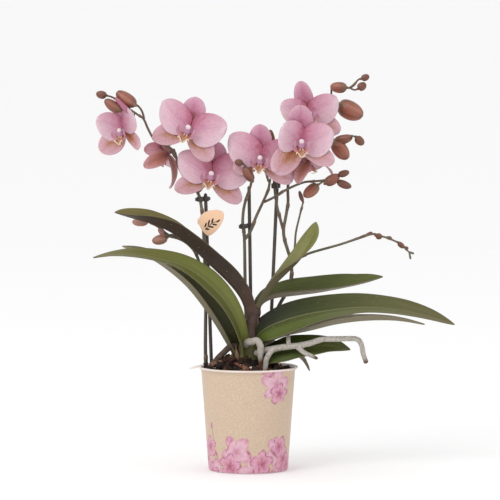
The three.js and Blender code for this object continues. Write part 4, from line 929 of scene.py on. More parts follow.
# Each spike: its main stalk and its side branches, with their radii from foot to tip, its buds with their
# greatest width and how pink they are, from 0 to 1, and where the short stalks of its open flowers leave it.
SPIKES = {
    "spike_left": {
        "stalk": [[-35, 9, 72], [-37.4, 9.3, 88], [-38.7, 9, 104], [-38.6, 8.5, 131], [-38.3, 8, 154],
                  [-39, 8, 180], [-40, 8, 208], [-41.2, 8, 228], [-42.7, 8, 240], [-44.5, 8, 248],
                  [-50, 10, 256], [-57.5, 13, 264], [-63, 13.5, 274], [-66, 12.5, 285], [-71, 11, 291],
                  [-79, 8, 295], [-85, 3, 299], [-90, 1, 308], [-94, -1, 317], [-99, -4, 321],
                  [-106, -7, 326], [-114, -8, 332], [-122, -8, 337], [-127.5, -8.5, 338.5]],
        "radii": [1.7, 1.3, 0.8],
        "branches": [
            {"points": [[-38.7, 8, 171], [-43, 9, 184], [-48, 10, 196], [-55, 10, 204], [-63, 10, 208.5],
                        [-71, 9, 210.5]],
             "radii": [1.3, 1]},
            {"points": [[-67, 9, 209], [-75, 9, 214], [-80, 9, 219], [-91, 7.5, 224]], "radii": [1.3, 1]},
            {"points": [[-63, 9.5, 208.5], [-68, 7, 211.5], [-72, 6, 211.5], [-76.5, 5, 212.5]],
             "radii": [1.8, 1.7]},
            {"points": [[-93, -1, 315], [-95, -1, 323], [-98, -2, 328], [-102, -2, 331]], "radii": [1, 0.9]},
            {"points": [[-64.5, 12, 281], [-67, 12.5, 285], [-69.5, 12, 289]], "radii": [1.5, 1.8, 1.2]},
            {"points": [[-108, -8, 327.5], [-112, -9.5, 326.5], [-115.5, -10, 325]], "radii": [1, 1.3]},
        ],
        "buds": [
            {"from": [-127, -8.5, 338.5], "to": [-136.5, -9, 340.5], "width": 7.6},
            {"from": [-114.5, -10, 324.5], "to": [-128.5, -14, 335], "width": 9.8},
            {"from": [-101, -4, 329.5], "to": [-118, -11, 342], "width": 12},
            {"from": [-104.5, -9, 321.5], "to": [-119.5, -15, 337.5], "width": 5.4, "pink": 1},
            {"from": [-73, 8, 210], "to": [-87, 7, 206.5], "width": 9.5, "pink": 0.7},
            {"from": [-90, 7, 224.5], "to": [-105, 6, 224], "width": 8, "pink": 0.7},
            {"from": [-76.5, 5, 212.5], "to": [-81, 4, 218.5], "width": 4.6, "pink": 0.8},
        ],
        "blooms": [
            {"from": [-73, 10.5, 292], "carries": "bloom_left_top"},
            {"from": [-46, 8.5, 249], "carries": "bloom_left_low"},
            {"from": [-102, -5, 323], "carries": "bloom_left_tip"},
            {"from": [-69, 11, 289], "carries": "bloom_left_back"},
        ],
    },
    "spike_middle": {
        "stalk": [[1, 17, 74], [0.5, 17.6, 90], [0, 18.5, 106], [-1.5, 18.5, 128], [-2.5, 18, 152],
                  [-3, 17, 180], [-3.5, 16, 209], [-5, 14, 222], [-4, 9, 236], [-1, 2, 248], [2, -7, 257],
                  [3, -14, 265], [0, -16, 272], [-5, -17, 278], [-8, -17, 279]],
        "radii": [1.7, 1.4, 0.9],
        "branches": [
            {"points": [[-3.5, 16, 207], [2, 14.5, 215], [7, 13, 228], [13, 12, 241], [18, 8, 253],
                        [20, 4, 264]],
             "radii": [1.5, 1.1]},
            {"points": [[13, 12, 241], [23, 10, 246], [36, 6, 254], [50, 2, 260], [60, 0, 261], [72, -2, 263],
                        [83, -3, 268]],
             "radii": [1.2, 0.9]},
            {"points": [[71, -2, 263], [77, -2, 261.5], [82, -2, 260]], "radii": [1, 1]},
            {"points": [[71, -2, 263], [66, -1, 260], [61, 0, 256.5]], "radii": [0.9, 0.9]},
        ],
        "buds": [
            {"from": [-5, -17, 278], "to": [-12, -18, 280], "width": 6.5},
            {"from": [4, -14, 262], "to": [-4, -17, 275], "width": 9},
            {"from": [69, -2, 259], "to": [82, -3, 267], "width": 10},
            {"from": [81, -3, 267], "to": [91, -3, 270], "width": 6.5},
            {"from": [80, -2, 261], "to": [93, -2, 256], "width": 7.5},
            {"from": [63, 0, 258], "to": [50, 1, 247], "width": 11},
        ],
        "blooms": [{"from": [19, 6, 258], "carries": "bloom_middle"}],
    },
    "spike_right": {
        "stalk": [[15, 20.5, 74], [15, 21, 90], [15, 21.5, 104], [16, 22, 118], [22, 22, 134], [29, 21, 149],
                  [36, 20, 161], [39, 19, 172], [39, 18, 186], [36, 18, 197], [33, 18, 207], [32, 18, 216],
                  [34, 17, 228], [36, 16, 241], [36, 17, 256], [40, 20, 270], [45, 22, 287], [53, 25, 304],
                  [64, 27, 320], [72, 26, 332], [75, 22, 339], [75, 18, 344]],
        "radii": [1.8, 1.5, 0.9],
        "branches": [
            {"points": [[32, 18, 215], [29, 18, 226], [26, 17.5, 238], [24, 18, 252], [23, 20, 270],
                        [22, 24, 288]],
             "radii": [1.4, 1]},
            {"points": [[39, 18, 185], [42, 16, 195], [43, 14, 213], [47, 13, 231], [50, 12, 243]],
             "radii": [1.1, 0.8]},
            {"points": [[39, 18, 183], [47, 14, 191], [57, 10, 196], [84, 6, 204], [110, 2, 213],
                        [118, 1, 212], [128, 0, 209], [138, 0, 204], [142, 0, 200], [145.6, 0, 196.6]],
             "radii": [1.3, 0.7]},
            {"points": [[145, 0, 197.4], [147.5, 0, 196.4], [149.6, -0.4, 195.6]], "radii": [0.9, 1.1]},
            {"points": [[145, 0, 197.4], [145.8, 0.4, 194], [146.4, 0, 190.4]], "radii": [0.8, 1]},
            {"points": [[75, 19, 343], [82, 17, 345], [92, 14, 345], [99, 10, 352], [103, 9, 354]],
             "radii": [1, 0.8]},
            {"points": [[91, 14, 345], [96, 12, 343], [101, 11, 345]], "radii": [0.9, 0.8]},
            {"points": [[68, 27, 326], [74, 27, 330], [84, 24, 330]], "radii": [1.1, 1]},
            {"points": [[49, 23.5, 295.5], [60, 23, 298], [72, 17, 298], [80, 10, 298]], "radii": [1.3, 1.2]},
            {"points": [[88, 6, 300], [93, 4, 302], [98, 3, 300]], "radii": [1, 0.8]},
        ],
        "buds": [
            {"from": [22, 24, 286], "to": [20, 22, 307], "width": 8},
            {"from": [89, 15, 345], "to": [74, 19, 346], "width": 10.5},
            {"from": [102, 9, 353], "to": [109, 8, 356], "width": 6.5},
            {"from": [99, 11, 344], "to": [106, 10, 349], "width": 8},
            {"from": [81.5, 24, 330], "to": [104, 21, 319], "width": 18},
            {"from": [78, 10, 297], "to": [94, 4, 301], "width": 9},
            {"from": [97, 3, 301], "to": [104, 2, 294], "width": 8},
            {"from": [77, 11, 297], "to": [90, 5, 281], "width": 14},
            {"from": [115, 1, 212], "to": [121, 1, 211], "width": 6},
            {"from": [135, 0, 206], "to": [141, 0, 201], "width": 5},
            {"from": [126, 0.6, 210.6], "to": [129.4, 1.2, 210], "width": 2.8},
            {"from": [141, 0.4, 201.6], "to": [144.6, 0.8, 200.4], "width": 3},
            {"from": [108, 2, 213.6], "to": [112, 2.2, 215], "width": 2.8},
            {"from": [49.5, 12, 242], "to": [46, 11, 252], "width": 4},
        ],
        "blooms": [
            {"from": [41, 21, 274], "carries": "bloom_right_front"},
            {"from": [55, 24, 307], "carries": "bloom_right_top"},
            {"from": [45, 22, 287], "carries": "bloom_right_under"},
        ],
    },
}

# Stalk skin: satin, olive-brown, redder towards the flowers, finely lined along its length.
stalk_skin, tree = start_material("flower_stalk_skin")
coords = add_node(tree, "TexCoord")
axes = add_node(tree, "SeparateXYZ", {}, {0: coords.outputs["Object"]})
stretch = add_node(tree, "Mapping", {"Scale": (1, 1, 0.1)}, {0: coords.outputs["Object"]})
lines = add_node(tree, "TexNoise", {"Scale": 1000 / 1.1, "Detail": 3}, {"Vector": stretch.outputs[0]})
patches = add_node(tree, "TexNoise", {"Scale": 1000 / 16, "Detail": 3}, {"Vector": coords.outputs["Object"]})
high = add_node(tree, "MapRange",
                {"From Min": 150 * MM, "From Max": 340 * MM, "To Min": -0.15, "To Max": 0.25},
                {0: axes.outputs["Z"]})
tone = add_node(tree, "Math", {"operation": "ADD"}, {0: high.outputs[0], 1: patches.outputs[0]})
colour = add_node(tree, "ValToRGB", {"stops": [(0.25, "#6b6a48"), (0.45, "#68604e"), (0.65, "#6a5548"),
                                               (0.9, "#5c4238")]}, {0: tone.outputs[0]})
streak = add_node(tree, "ValToRGB", {"stops": [(0.35, "#c4c0b4"), (0.65, "#ffffff")]}, {0: lines.outputs[0]})
low = add_node(tree, "MapRange", {"From Min": 120 * MM, "From Max": 190 * MM, "To Min": 0.75, "To Max": 0},
               {0: axes.outputs["Z"]})
darker = add_node(tree, "Mix", {"data_type": "RGBA", 7: "#3f342c"}, {0: low.outputs[0], 6: colour.outputs[0]})
mixed = add_node(tree, "Mix", {"data_type": "RGBA", "blend_type": "MULTIPLY", 0: 0.8},
                 {6: darker.outputs[2], 7: streak.outputs[0]})
fine = add_node(tree, "Bump", {"Strength": 0.3, "Distance": 0.0003}, {"Height": lines.outputs[0]})
close_material(tree, {"Roughness": 0.5, "Coat Weight": 0.08},
               {"Base Color": mixed.outputs[2], "Normal": fine.outputs[0]})

# Bract: a small dry scale, dull grey-brown with a paler rim.
bract_skin, tree = start_material("dry_bract")
coords = add_node(tree, "TexCoord")
sides = add_node(tree, "SeparateXYZ", {}, {0: coords.outputs["UV"]})
frayed = add_node(tree, "TexNoise", {"Scale": 1000 / 1.5, "Detail": 3}, {"Vector": coords.outputs["Object"]})
drift = add_node(tree, "Math", {"operation": "MULTIPLY_ADD", 1: 0.6, 2: -0.3}, {0: frayed.outputs[0]})
along = add_node(tree, "Math", {"operation": "ADD"}, {0: sides.outputs["Y"], 1: drift.outputs[0]})
colour = add_node(tree, "ValToRGB", {"stops": [(0, "#574a38"), (0.6, "#6a5846"), (1, "#85705a")]},
                  {0: along.outputs[0]})
rim = add_node(tree, "Bump", {"Strength": 0.4, "Distance": 0.0003}, {"Height": frayed.outputs[0]})
close_material(tree, {"Roughness": 0.75}, {"Base Color": colour.outputs[0], "Normal": rim.outputs[0]})

# Bud skin: smooth, brown-pink sepals folded shut, with a green-brown foot. The paler streak down each sepal
# is a painted highlight.
bud_skin, tree = start_material("flower_bud_skin")
coords = add_node(tree, "TexCoord")
sides = add_node(tree, "SeparateXYZ", {}, {0: coords.outputs["UV"]})
freckle = add_node(tree, "TexNoise", {"Scale": 1000 / 2, "Detail": 5}, {"Vector": coords.outputs["Object"]})
drift = add_node(tree, "Math", {"operation": "MULTIPLY_ADD", 1: 0.4, 2: -0.2}, {0: freckle.outputs[0]})
along = add_node(tree, "Math", {"operation": "ADD"}, {0: sides.outputs["Y"], 1: drift.outputs[0]})
base = add_node(tree, "ValToRGB", {"stops": [(0, "#6c6c40"), (0.1, "#6a563c"), (0.22, "#7c4636"),
                                             (0.55, "#93523f"), (0.85, "#965a49"), (1, "#623a2b")]},
                {0: along.outputs[0]})
# Painted highlight: a paler, freckled streak down the middle of each sepal.
thirds = add_node(tree, "Math", {"operation": "MULTIPLY", 1: 3}, {0: sides.outputs["X"]})
sepal = add_node(tree, "Math", {"operation": "PINGPONG", 1: 0.5}, {0: thirds.outputs[0]})
streak = add_node(tree, "MapRange", {"From Min": 0.3, "From Max": 0.5, "To Min": 0, "To Max": 0.6},
                  {0: sepal.outputs[0]})
painted_highlight = add_node(tree, "Math", {"operation": "MULTIPLY"}, {0: streak.outputs[0], 1: freckle.outputs[0]})
highlighted = add_node(tree, "Mix", {"data_type": "RGBA", 7: "#bf9684"},
                   {0: painted_highlight.outputs[0], 6: base.outputs[0]})
seam = add_node(tree, "MapRange", {"From Min": 0.02, "From Max": 0.07, "To Min": 0.5, "To Max": 0},
                {0: sepal.outputs[0]})
seamed = add_node(tree, "Mix", {"data_type": "RGBA", 7: "#5c3a32"},
                  {0: seam.outputs[0], 6: highlighted.outputs[2]})
young = add_node(tree, "Attribute", {"attribute_name": "young"})
darker = add_node(tree, "Mix", {"data_type": "RGBA", 7: "#5f3a2c"},
                  {0: young.outputs["Fac"], 6: seamed.outputs[2]})
pink = add_node(tree, "Attribute", {"attribute_name": "pink"})
tint = add_node(tree, "ValToRGB", {"stops": [(0.7, "#bd8f7c"), (1, "#a9687f")]}, {0: pink.outputs["Fac"]})
pinker = add_node(tree, "Mix", {"data_type": "RGBA"},
                  {0: pink.outputs["Fac"], 6: darker.outputs[2], 7: tint.outputs[0]})
dots = add_node(tree, "TexVoronoi", {"Scale": 1000 / 1.3}, {"Vector": coords.outputs["Object"]})
dot = add_node(tree, "MapRange", {"From Min": 0.15, "From Max": 0.4, "To Min": 0.4, "To Max": 0},
               {0: dots.outputs["Distance"]})
dotted = add_node(tree, "Mix", {"data_type": "RGBA", 7: "#5c3a30"}, {0: dot.outputs[0], 6: pinker.outputs[2]})
fine = add_node(tree, "Bump", {"Strength": 0.25, "Distance": 0.0003}, {"Height": freckle.outputs[0]})
close_material(tree, {"Roughness": 0.38, "Subsurface Weight": 0.1, "Subsurface Scale": 0.001},
               {"Base Color": dotted.outputs[2], "Normal": fine.outputs[0]})


def bloom_place(bloom):
    """The flower's own frame: +Z is the way it looks, +Y points to its top petal."""
    out = Vector(bloom["looks"]).normalized()
    up = (Vector((0, 0, 1)) - out * out.z).normalized()
    up.rotate(Matrix.Rotation(-math.radians(bloom["lean"]), 3, out))
    turned = Matrix((up.cross(out), up, out)).transposed().to_4x4()
    return Matrix.Translation(bloom["middle"]) @ turned


# Each flower: its middle, the way it looks, how far it leans to its right in degrees, its size, how far its
# petals curl forward by their tips, in degrees, and for a petal of its own growth what its turn adds, its
# length and width.
BLOOMS = {
    "bloom_left_top": {
        "middle": [-52.5, -9, 308.5], "looks": [-0.2, -0.96, 0.12], "lean": 20, "size": 0.97, "curl": -8,
        "own": {0: (-11, 0.95, 1.08), 1: (3, 0.96, 1.1), 2: (0, 1, 1.12), 3: (0, 0.97, 1.04),
                4: (0, 1.04, 0.96)},
    },
    "bloom_left_low": {
        "middle": [-33, 1.5, 266.5], "looks": [-0.05, -0.98, 0.12], "lean": 11, "size": 0.97, "curl": -8,
        "own": {0: (-3, 1, 1.1), 3: (-6, 1.12, 1.1), 4: (-2, 1.02, 0.94)},
    },
    "bloom_left_tip": {
        "middle": [-112, 4, 306.5], "looks": [-0.56, -0.82, -0.05], "lean": -2, "size": 0.85, "curl": 56,
        "own": {0: (-12, 0.8, 0.8), 1: (4, 0.86, 0.72), 2: (-6, 0.93, 1.4), 3: (-24, 1, 0.76),
                4: (4, 0.9, 1)},
    },
    "bloom_left_back": {
        "middle": [-73, 15, 285], "looks": [-0.8, 0.37, -0.47], "lean": -31, "size": 0.74, "curl": 92,
        "own": {0: (0, 1.15, 1.3), 1: (8, 1.14, 0.95), 2: (-9, 1.25, 1.25), 3: (6, 0.88, 1),
                4: (0, 0.9, 0.8)},
    },
    "bloom_middle": {
        "middle": [11.5, -10, 281.5], "looks": [-0.12, -0.97, 0.08], "lean": 4, "size": 0.94, "curl": -8,
        "own": {0: (-8, 1.05, 1.05), 2: (8, 0.78, 1), 4: (8, 1.06, 1.04)},
    },
    "bloom_right_front": {
        "middle": [47, -22, 296.5], "looks": [0.1, -0.98, 0.08], "lean": 1, "size": 0.94, "curl": 44,
        "own": {0: (-2, 1.13, 1.15), 2: (-16, 1.08, 1.3), 3: (5, 0.94, 1.06), 4: (15, 0.72, 1.04)},
    },
    "bloom_right_top": {
        "middle": [54.5, 9, 320], "looks": [0.12, -0.97, 0.2], "lean": -8, "size": 0.84, "curl": 14,
        "own": {0: (-5, 1.2, 0.95), 1: (4, 1.02, 1.2), 3: (2, 1, 1.04), 4: (4, 0.9, 0.95)},
    },
    "bloom_right_under": {
        "middle": [54.5, -1, 279], "looks": [-0.1, 0.33, -0.94], "lean": 36, "size": 0.7, "curl": 88,
        "own": {0: (0, 1.1, 0.85), 1: (-16, 1.1, 0.95), 2: (0, 1.1, 0.9)},
    },
}


def line_length(line, steps=60):
    """The length of a smooth line, measured in straight steps."""
    return sum((line(i / steps) - line((i - 1) / steps)).length for i in range(1, steps + 1))


def add_stalk(bm, points, radii, bract_every=38):
    """A round stalk with joints, each with a short bract that wraps it."""
    line = smooth_line(points)
    length = line_length(line)
    joints = [spot / length for spot in range(int(bract_every * 0.6), int(length - 8), bract_every)]

    def radius_at(angle, t):
        swelling = sum(0.3 * math.exp(-((t - joint) * length / 1.6) ** 2) for joint in joints)
        return (between(radii, t) + swelling) * round_ends(t, 1.2 / length)

    add_tube(bm, points, radius_at, 10, max(8, int(length / 2.2)))
    for joint in joints:
        wrap = [line(joint + step * 1.7 / length) for step in range(4)]
        bract = [between(radii, joint) + extra for extra in (0.15, 0.35, 0.35, 0.05)]
        add_tube(bm, wrap,
                 lambda angle, t: (between(bract, t) + 0.25 * t * math.cos(angle)) * round_ends(t, 0.12),
                 10, 8, 1)


def add_bud(bm, start, end, width, pink):
    """A closed bud: a blunt egg of three sepals whose edges meet in seams, on a thick green foot."""
    length = (Vector(end) - Vector(start)).length

    def radius_at(angle, t):
        swell = max(1 - abs(2 * t ** 0.9 - 1) ** 2.15, 0) ** 0.52
        seams = 1 - 0.07 * abs(math.cos(1.5 * angle)) ** 8 * smooth_step(3 * t)
        return 0.5 * width * swell * seams * (1.03 - 0.08 * t)

    sagged = (Vector(start) + Vector(end)) / 2 + Vector((0, 0, -0.02 * length))
    faces = add_tube(bm, [start, sagged, end], radius_at, 24, 24)
    back = (Vector(start) - Vector(end)).normalized()
    faces |= add_tube(bm, [Vector(start) + 1.6 * back, Vector(start), Vector(start) - 1.8 * back],
                      lambda angle, t: (0.8 + 0.13 * width * t) * round_ends(t, 0.25), 12, 8)
    for vert in {vert for face in faces for vert in face.verts}:
        vert[bm.verts.layers.float["young"]] = 0.8 * (1 - smooth_step((width - 7) / 5)) * (1 - pink)
        vert[bm.verts.layers.float["pink"]] = pink


for name, spike in SPIKES.items():
    bm = start_piece()
    add_stalk(bm, spike["stalk"], spike["radii"])
    for branch in spike["branches"]:
        add_stalk(bm, branch["points"], branch["radii"], 30)
    for bloom in spike["blooms"]:
        there = bloom_place(BLOOMS[bloom["carries"]])
        back, behind = there @ Vector((0, 0, -2.15)), there @ Vector((0, 0, -8))
        add_stalk(bm, [bloom["from"], behind, back], [1.1, 1.1, 1.5], 999)  # too short for a bract
    bmesh.ops.recalc_face_normals(bm, faces=bm.faces)
    finish_piece(bm, name + "_stalks", [stalk_skin, bract_skin], [name])
    bm = start_piece()
    bm.verts.layers.float.new("young")
    bm.verts.layers.float.new("pink")
    for bud in spike["buds"]:
        add_bud(bm, bud["from"], bud["to"], bud["width"], bud.get("pink", 0))
    bmesh.ops.recalc_face_normals(bm, faces=bm.faces)
    finish_piece(bm, name + "_buds", [bud_skin], [name])

# ---- Open flowers ----
# Eight moth-orchid flowers, about 65 mm across: two broad petals in front of three narrower sepals, thin and
# soft, on a small round middle. Pink with darker veins that fan out from the middle; the sepals and the backs
# are browner.

# The top sepal, the two lower sepals and the two broad petals: the turn from the top in degrees, length,
# width, how far in front each starts, its share of the flower's curl, and whether it is a broad petal in
# front of the sepals.
TEPALS = [
    {"turn": 0, "length": 31, "width": 22, "start": 0, "share": 0.5, "front": False},
    {"turn": 122, "length": 36, "width": 19.5, "start": 0, "share": 0.7, "front": False},
    {"turn": -122, "length": 36, "width": 19.5, "start": 0, "share": 0.7, "front": False},
    {"turn": 70, "length": 35, "width": 31, "start": 1, "share": 1, "front": True},
    {"turn": -70, "length": 35, "width": 31, "start": 1, "share": 1, "front": True},
]
CLAW_REACH = 1  # the petals start this far out from the flower's axis
PETAL_THICKNESS = 0.7


def petal_skin(name, stops, vein, lift, speckle=0):
    """Petal tissue: thin and soft, with painted glints for its sparkle, and fine veins that fan from the foot
    to the edge.
    """
    material, tree = start_material(name)
    coords = add_node(tree, "TexCoord")
    sides = add_node(tree, "SeparateXYZ", {}, {0: coords.outputs["UV"]})
    pale = add_node(tree, "Attribute", {"attribute_name": "pale"})
    cells = add_node(tree, "TexNoise", {"Scale": 1000 / 4, "Detail": 5}, {"Vector": coords.outputs["Object"]})
    sparkle = add_node(tree, "TexNoise", {"Scale": 1000 / 1.1, "Detail": 3},
                       {"Vector": coords.outputs["Object"]})
    stretch = add_node(tree, "Mapping", {"Scale": (30, 1.4, 1)}, {0: coords.outputs["UV"]})
    fan = add_node(tree, "TexNoise", {"Scale": 1, "Detail": 3, "Roughness": 0.6},
                   {"Vector": stretch.outputs[0]})
    drift = add_node(tree, "Math", {"operation": "MULTIPLY_ADD", 1: 0.4, 2: -0.2}, {0: cells.outputs[0]})
    along = add_node(tree, "Math", {"operation": "ADD"}, {0: sides.outputs["Y"], 1: drift.outputs[0]})
    # The pale attribute moves the colour towards the paler stops: on a broad petal it is painted light, its
    # lower half paler as if it faced the light, and on a sepal it is its paler edges.
    spread = add_node(tree, "Math", {"operation": "MULTIPLY_ADD", 1: lift, 2: -0.4 * lift},
                      {0: pale.outputs["Fac"]})
    along_paled = add_node(tree, "Math", {"operation": "ADD"}, {0: along.outputs[0], 1: spread.outputs[0]})
    tissue = add_node(tree, "ValToRGB", {"stops": stops}, {0: along_paled.outputs[0]})
    lower = add_node(tree, "MapRange", {"From Min": 0.48, "From Max": 0.85, "To Min": 0, "To Max": lift},
                     {0: pale.outputs["Fac"]})
    base = add_node(tree, "Mix", {"data_type": "RGBA", 7: stops[-1][1]},
                    {0: lower.outputs[0], 6: tissue.outputs[0]})
    veined = add_node(tree, "MapRange", {"From Min": 0.46, "From Max": 0.66, "To Min": 0, "To Max": 0.3},
                      {0: fan.outputs[0]})
    lined = add_node(tree, "Mix", {"data_type": "RGBA", 7: vein}, {0: veined.outputs[0], 6: base.outputs[2]})
    off = add_node(tree, "Math", {"operation": "SUBTRACT", 1: 0.5}, {0: sides.outputs["X"]})
    from_rib = add_node(tree, "Math", {"operation": "ABSOLUTE"}, {0: off.outputs[0]})
    rib_end = add_node(tree, "MapRange", {"From Min": 0.3, "From Max": 0.9, "To Min": 0.35, "To Max": 0},
                       {0: sides.outputs["Y"]})
    rib = add_node(tree, "MapRange", {"From Min": 0.004, "From Max": 0.05, "To Max": 0},
                   {0: from_rib.outputs[0], 3: rib_end.outputs[0]})
    ribbed = add_node(tree, "Mix", {"data_type": "RGBA", 7: vein}, {0: rib.outputs[0], 6: lined.outputs[2]})
    dots = add_node(tree, "TexVoronoi", {"Scale": 1000 / 1.3}, {"Vector": coords.outputs["Object"]})
    dot = add_node(tree, "MapRange", {"From Min": 0.2, "From Max": 0.4, "To Min": speckle, "To Max": 0},
                   {0: dots.outputs["Distance"]})
    near_foot = add_node(tree, "MapRange", {"From Min": 0.35, "From Max": 0.65, "To Min": 1, "To Max": 0},
                         {0: along_paled.outputs[0]})
    freckled = add_node(tree, "Math", {"operation": "MULTIPLY"}, {0: dot.outputs[0], 1: near_foot.outputs[0]})
    dotted = add_node(tree, "Mix", {"data_type": "RGBA", 7: vein},
                      {0: freckled.outputs[0], 6: ribbed.outputs[2]})
    # Painted glints: a faint speckle that brightens and dulls the tissue, standing in for its sparkle.
    glint = add_node(tree, "ValToRGB", {"stops": [(0.35, "#f0eef0"), (0.65, "#ffffff")]},
                     {0: sparkle.outputs[0]})
    glinted = add_node(tree, "Mix", {"data_type": "RGBA", "blend_type": "MULTIPLY", 0: 1.0},
                       {6: dotted.outputs[2], 7: glint.outputs[0]})
    silk = add_node(tree, "Bump", {"Strength": 0.35, "Distance": 0.0003}, {"Height": fan.outputs[0]})
    close_material(tree, {"Roughness": 0.6, "IOR": 1.4, "Specular IOR Level": 0.3, "Subsurface Weight": 0.15,
                          "Subsurface Scale": 0.0015, "Sheen Weight": 0.08, "Sheen Roughness": 0.4},
                   {"Base Color": glinted.outputs[2], "Normal": silk.outputs[0]})
    return material


petal_front = petal_skin("petal_tissue", [(0, "#a85a70"), (0.2, "#c08499"), (0.45, "#ca9dac"),
                                          (0.75, "#d2adba"), (1, "#dac0c9")], "#b8839b", 0.5)
dorsal_front = petal_skin("top_sepal_tissue", [(0, "#78302c"), (0.18, "#8a4249"), (0.34, "#ad6a82"),
                                               (0.6, "#bf889e"), (1, "#cda3b2")], "#ac7088", 0.4)
lateral_front = petal_skin("side_sepal_tissue", [(0, "#84442f"), (0.14, "#9c6446"), (0.34, "#b58670"),
                                                 (0.54, "#c2969c"), (1, "#d0acb7")], "#94523c", 0.4, 0.7)
petal_back = petal_skin("petal_back_tissue", [(0, "#a85c68"), (0.5, "#c98a97"), (1, "#d8a8b2")],
                        "#ac6876", 0.3)
sepal_back = petal_skin("sepal_back_tissue", [(0, "#7a3c34"), (0.3, "#9a5c50"), (0.65, "#b47c74"),
                                              (1, "#c4969c")], "#8a5048", 0.3, 0.3)


def petal_outline(v, front):
    """Half a petal's width at v, as a share of the greatest: a short claw, a broad middle, a blunt corner."""
    rise, fall = (0.42, 0.56) if front else (0.5, 0.5)
    peak = rise / (rise + fall)
    return max(v ** rise * (1 - v) ** fall / (peak ** rise * (1 - peak) ** fall), 0.01)


def add_tepal(bm, bloom, tepal, own, number, material):
    turn = tepal["turn"] + own[0]
    out = Vector((math.sin(math.radians(turn)), math.cos(math.radians(turn)), 0))
    side = Vector((out.y, -out.x, 0))
    length, width, front = tepal["length"] * own[1], tepal["width"] * own[2], tepal["front"]
    upward = -math.copysign(1, tepal["turn"])  # the side of a broad petal that faces up
    bend = math.radians(bloom["curl"] * tepal["share"])

    def surface(u, v):
        v = (v + math.sin(0.5 * math.pi * v)) / 2  # closer rows round the tip
        belly = (1.4 if front else -0.6) * math.sin(math.pi * v)
        crease = -0.7 * math.exp(-(u / 0.12) ** 2) * math.sin(math.pi * v) * (1 if front else -0.6)
        ruffle = 1.2 * u * u * v * noise.noise(Vector((2.2 * u, 3.5 * v, 5 * number + 40 * bloom["size"])))
        in_front = tepal["start"] + belly + crease + ruffle - 2.2 * u * u * v
        half = 0.5 * width * petal_outline(v, front) * (1 - 0.1 * upward * u if front else 1)
        swept = 2.6 * upward * v * v if front else 0  # a broad petal's tip bends up
        return bloom["size"] * (
            out * (CLAW_REACH + (length / bend - in_front) * math.sin(bend * v))
            + Vector((0, 0, 1)) * (length * (1 - math.cos(bend * v)) / bend + in_front * math.cos(bend * v))
            + side * (half * u + swept))

    sheet = add_blade(bm, surface, 18, 28, material)
    # Pale: on a broad petal, painted light on its lower half; on a sepal, its paler edges.
    uv, pale = bm.loops.layers.uv.active, bm.verts.layers.float["pale"]
    for vert in sheet:
        across = 2 * vert.link_loops[0][uv].uv.x - 1
        vert[pale] = 0.5 - 0.5 * upward * across if front else abs(across)


for number, (name, bloom) in enumerate(BLOOMS.items()):
    bm = start_piece()
    bm.verts.layers.float.new("pale")
    for order, (tepal, material) in enumerate(zip(TEPALS, (1, 2, 2, 0, 0))):
        add_tepal(bm, bloom, tepal, bloom["own"].get(order, (0, 1, 1)), 10 * number + order, material)
    bmesh.ops.transform(bm, matrix=bloom_place(bloom), verts=bm.verts)
    petals = finish_piece(bm, name + "_petals", [petal_front, dorsal_front, lateral_front,
                                                          petal_back, sepal_back, sepal_back], [name])
    give_flesh(petals, PETAL_THICKNESS, 3)
    bm = start_piece()
    bm.verts.layers.float.new("pale")
    middle_radii = [2, 2.4, 2.7, 2.3, 1.6]
    add_tube(bm, [(0, 0, -1.8), (0, 0, 0), (0, 0, 1.9)],
             lambda angle, t: between(middle_radii, t) * round_ends(t, 0.15), 20, 12)
    bmesh.ops.recalc_face_normals(bm, faces=bm.faces)
    bmesh.ops.transform(bm, matrix=bloom_place(bloom), verts=bm.verts)
    finish_piece(bm, name + "_middle", [dorsal_front], [name])

# ---- Lips ----
# In the middle of each flower stands the column, a lilac arch with a round white cap, and below it the waxy
# lip: two striped side lobes that stand up beside the column, and a middle lobe that points forward and ends
# in two tendrils.

LIP_THICKNESS = 0.7

# Column: waxy lilac tissue, darker red at its foot.
column_skin, tree = start_material("column_tissue")
coords = add_node(tree, "TexCoord")
sides = add_node(tree, "SeparateXYZ", {}, {0: coords.outputs["UV"]})
cells = add_node(tree, "TexNoise", {"Scale": 1000 / 1.2, "Detail": 4}, {"Vector": coords.outputs["Object"]})
base = add_node(tree, "ValToRGB", {"stops": [(0, "#84405a"), (0.3, "#a0637e"), (0.6, "#b07e99"),
                                             (0.85, "#ad7a94"), (1, "#b88aa0")]}, {0: sides.outputs["Y"]})
waxy = add_node(tree, "Bump", {"Strength": 0.2, "Distance": 0.0002}, {"Height": cells.outputs[0]})
close_material(tree, {"Roughness": 0.4, "Subsurface Weight": 0.25, "Subsurface Scale": 0.001},
               {"Base Color": base.outputs[0], "Normal": waxy.outputs[0]})

# Cap: the smooth, nearly white lid over the pollen.
cap_skin, tree = start_material("pollen_cap_tissue")
coords = add_node(tree, "TexCoord")
cells = add_node(tree, "TexNoise", {"Scale": 1000 / 1.5, "Detail": 4}, {"Vector": coords.outputs["Object"]})
base = add_node(tree, "ValToRGB", {"stops": [(0.3, "#d6c3c9"), (0.7, "#e0d2d6")]}, {0: cells.outputs[0]})
waxy = add_node(tree, "Bump", {"Strength": 0.2, "Distance": 0.0002}, {"Height": cells.outputs[0]})
close_material(tree, {"Roughness": 0.35, "Subsurface Weight": 0.2, "Subsurface Scale": 0.001},
               {"Base Color": base.outputs[0], "Normal": waxy.outputs[0]})


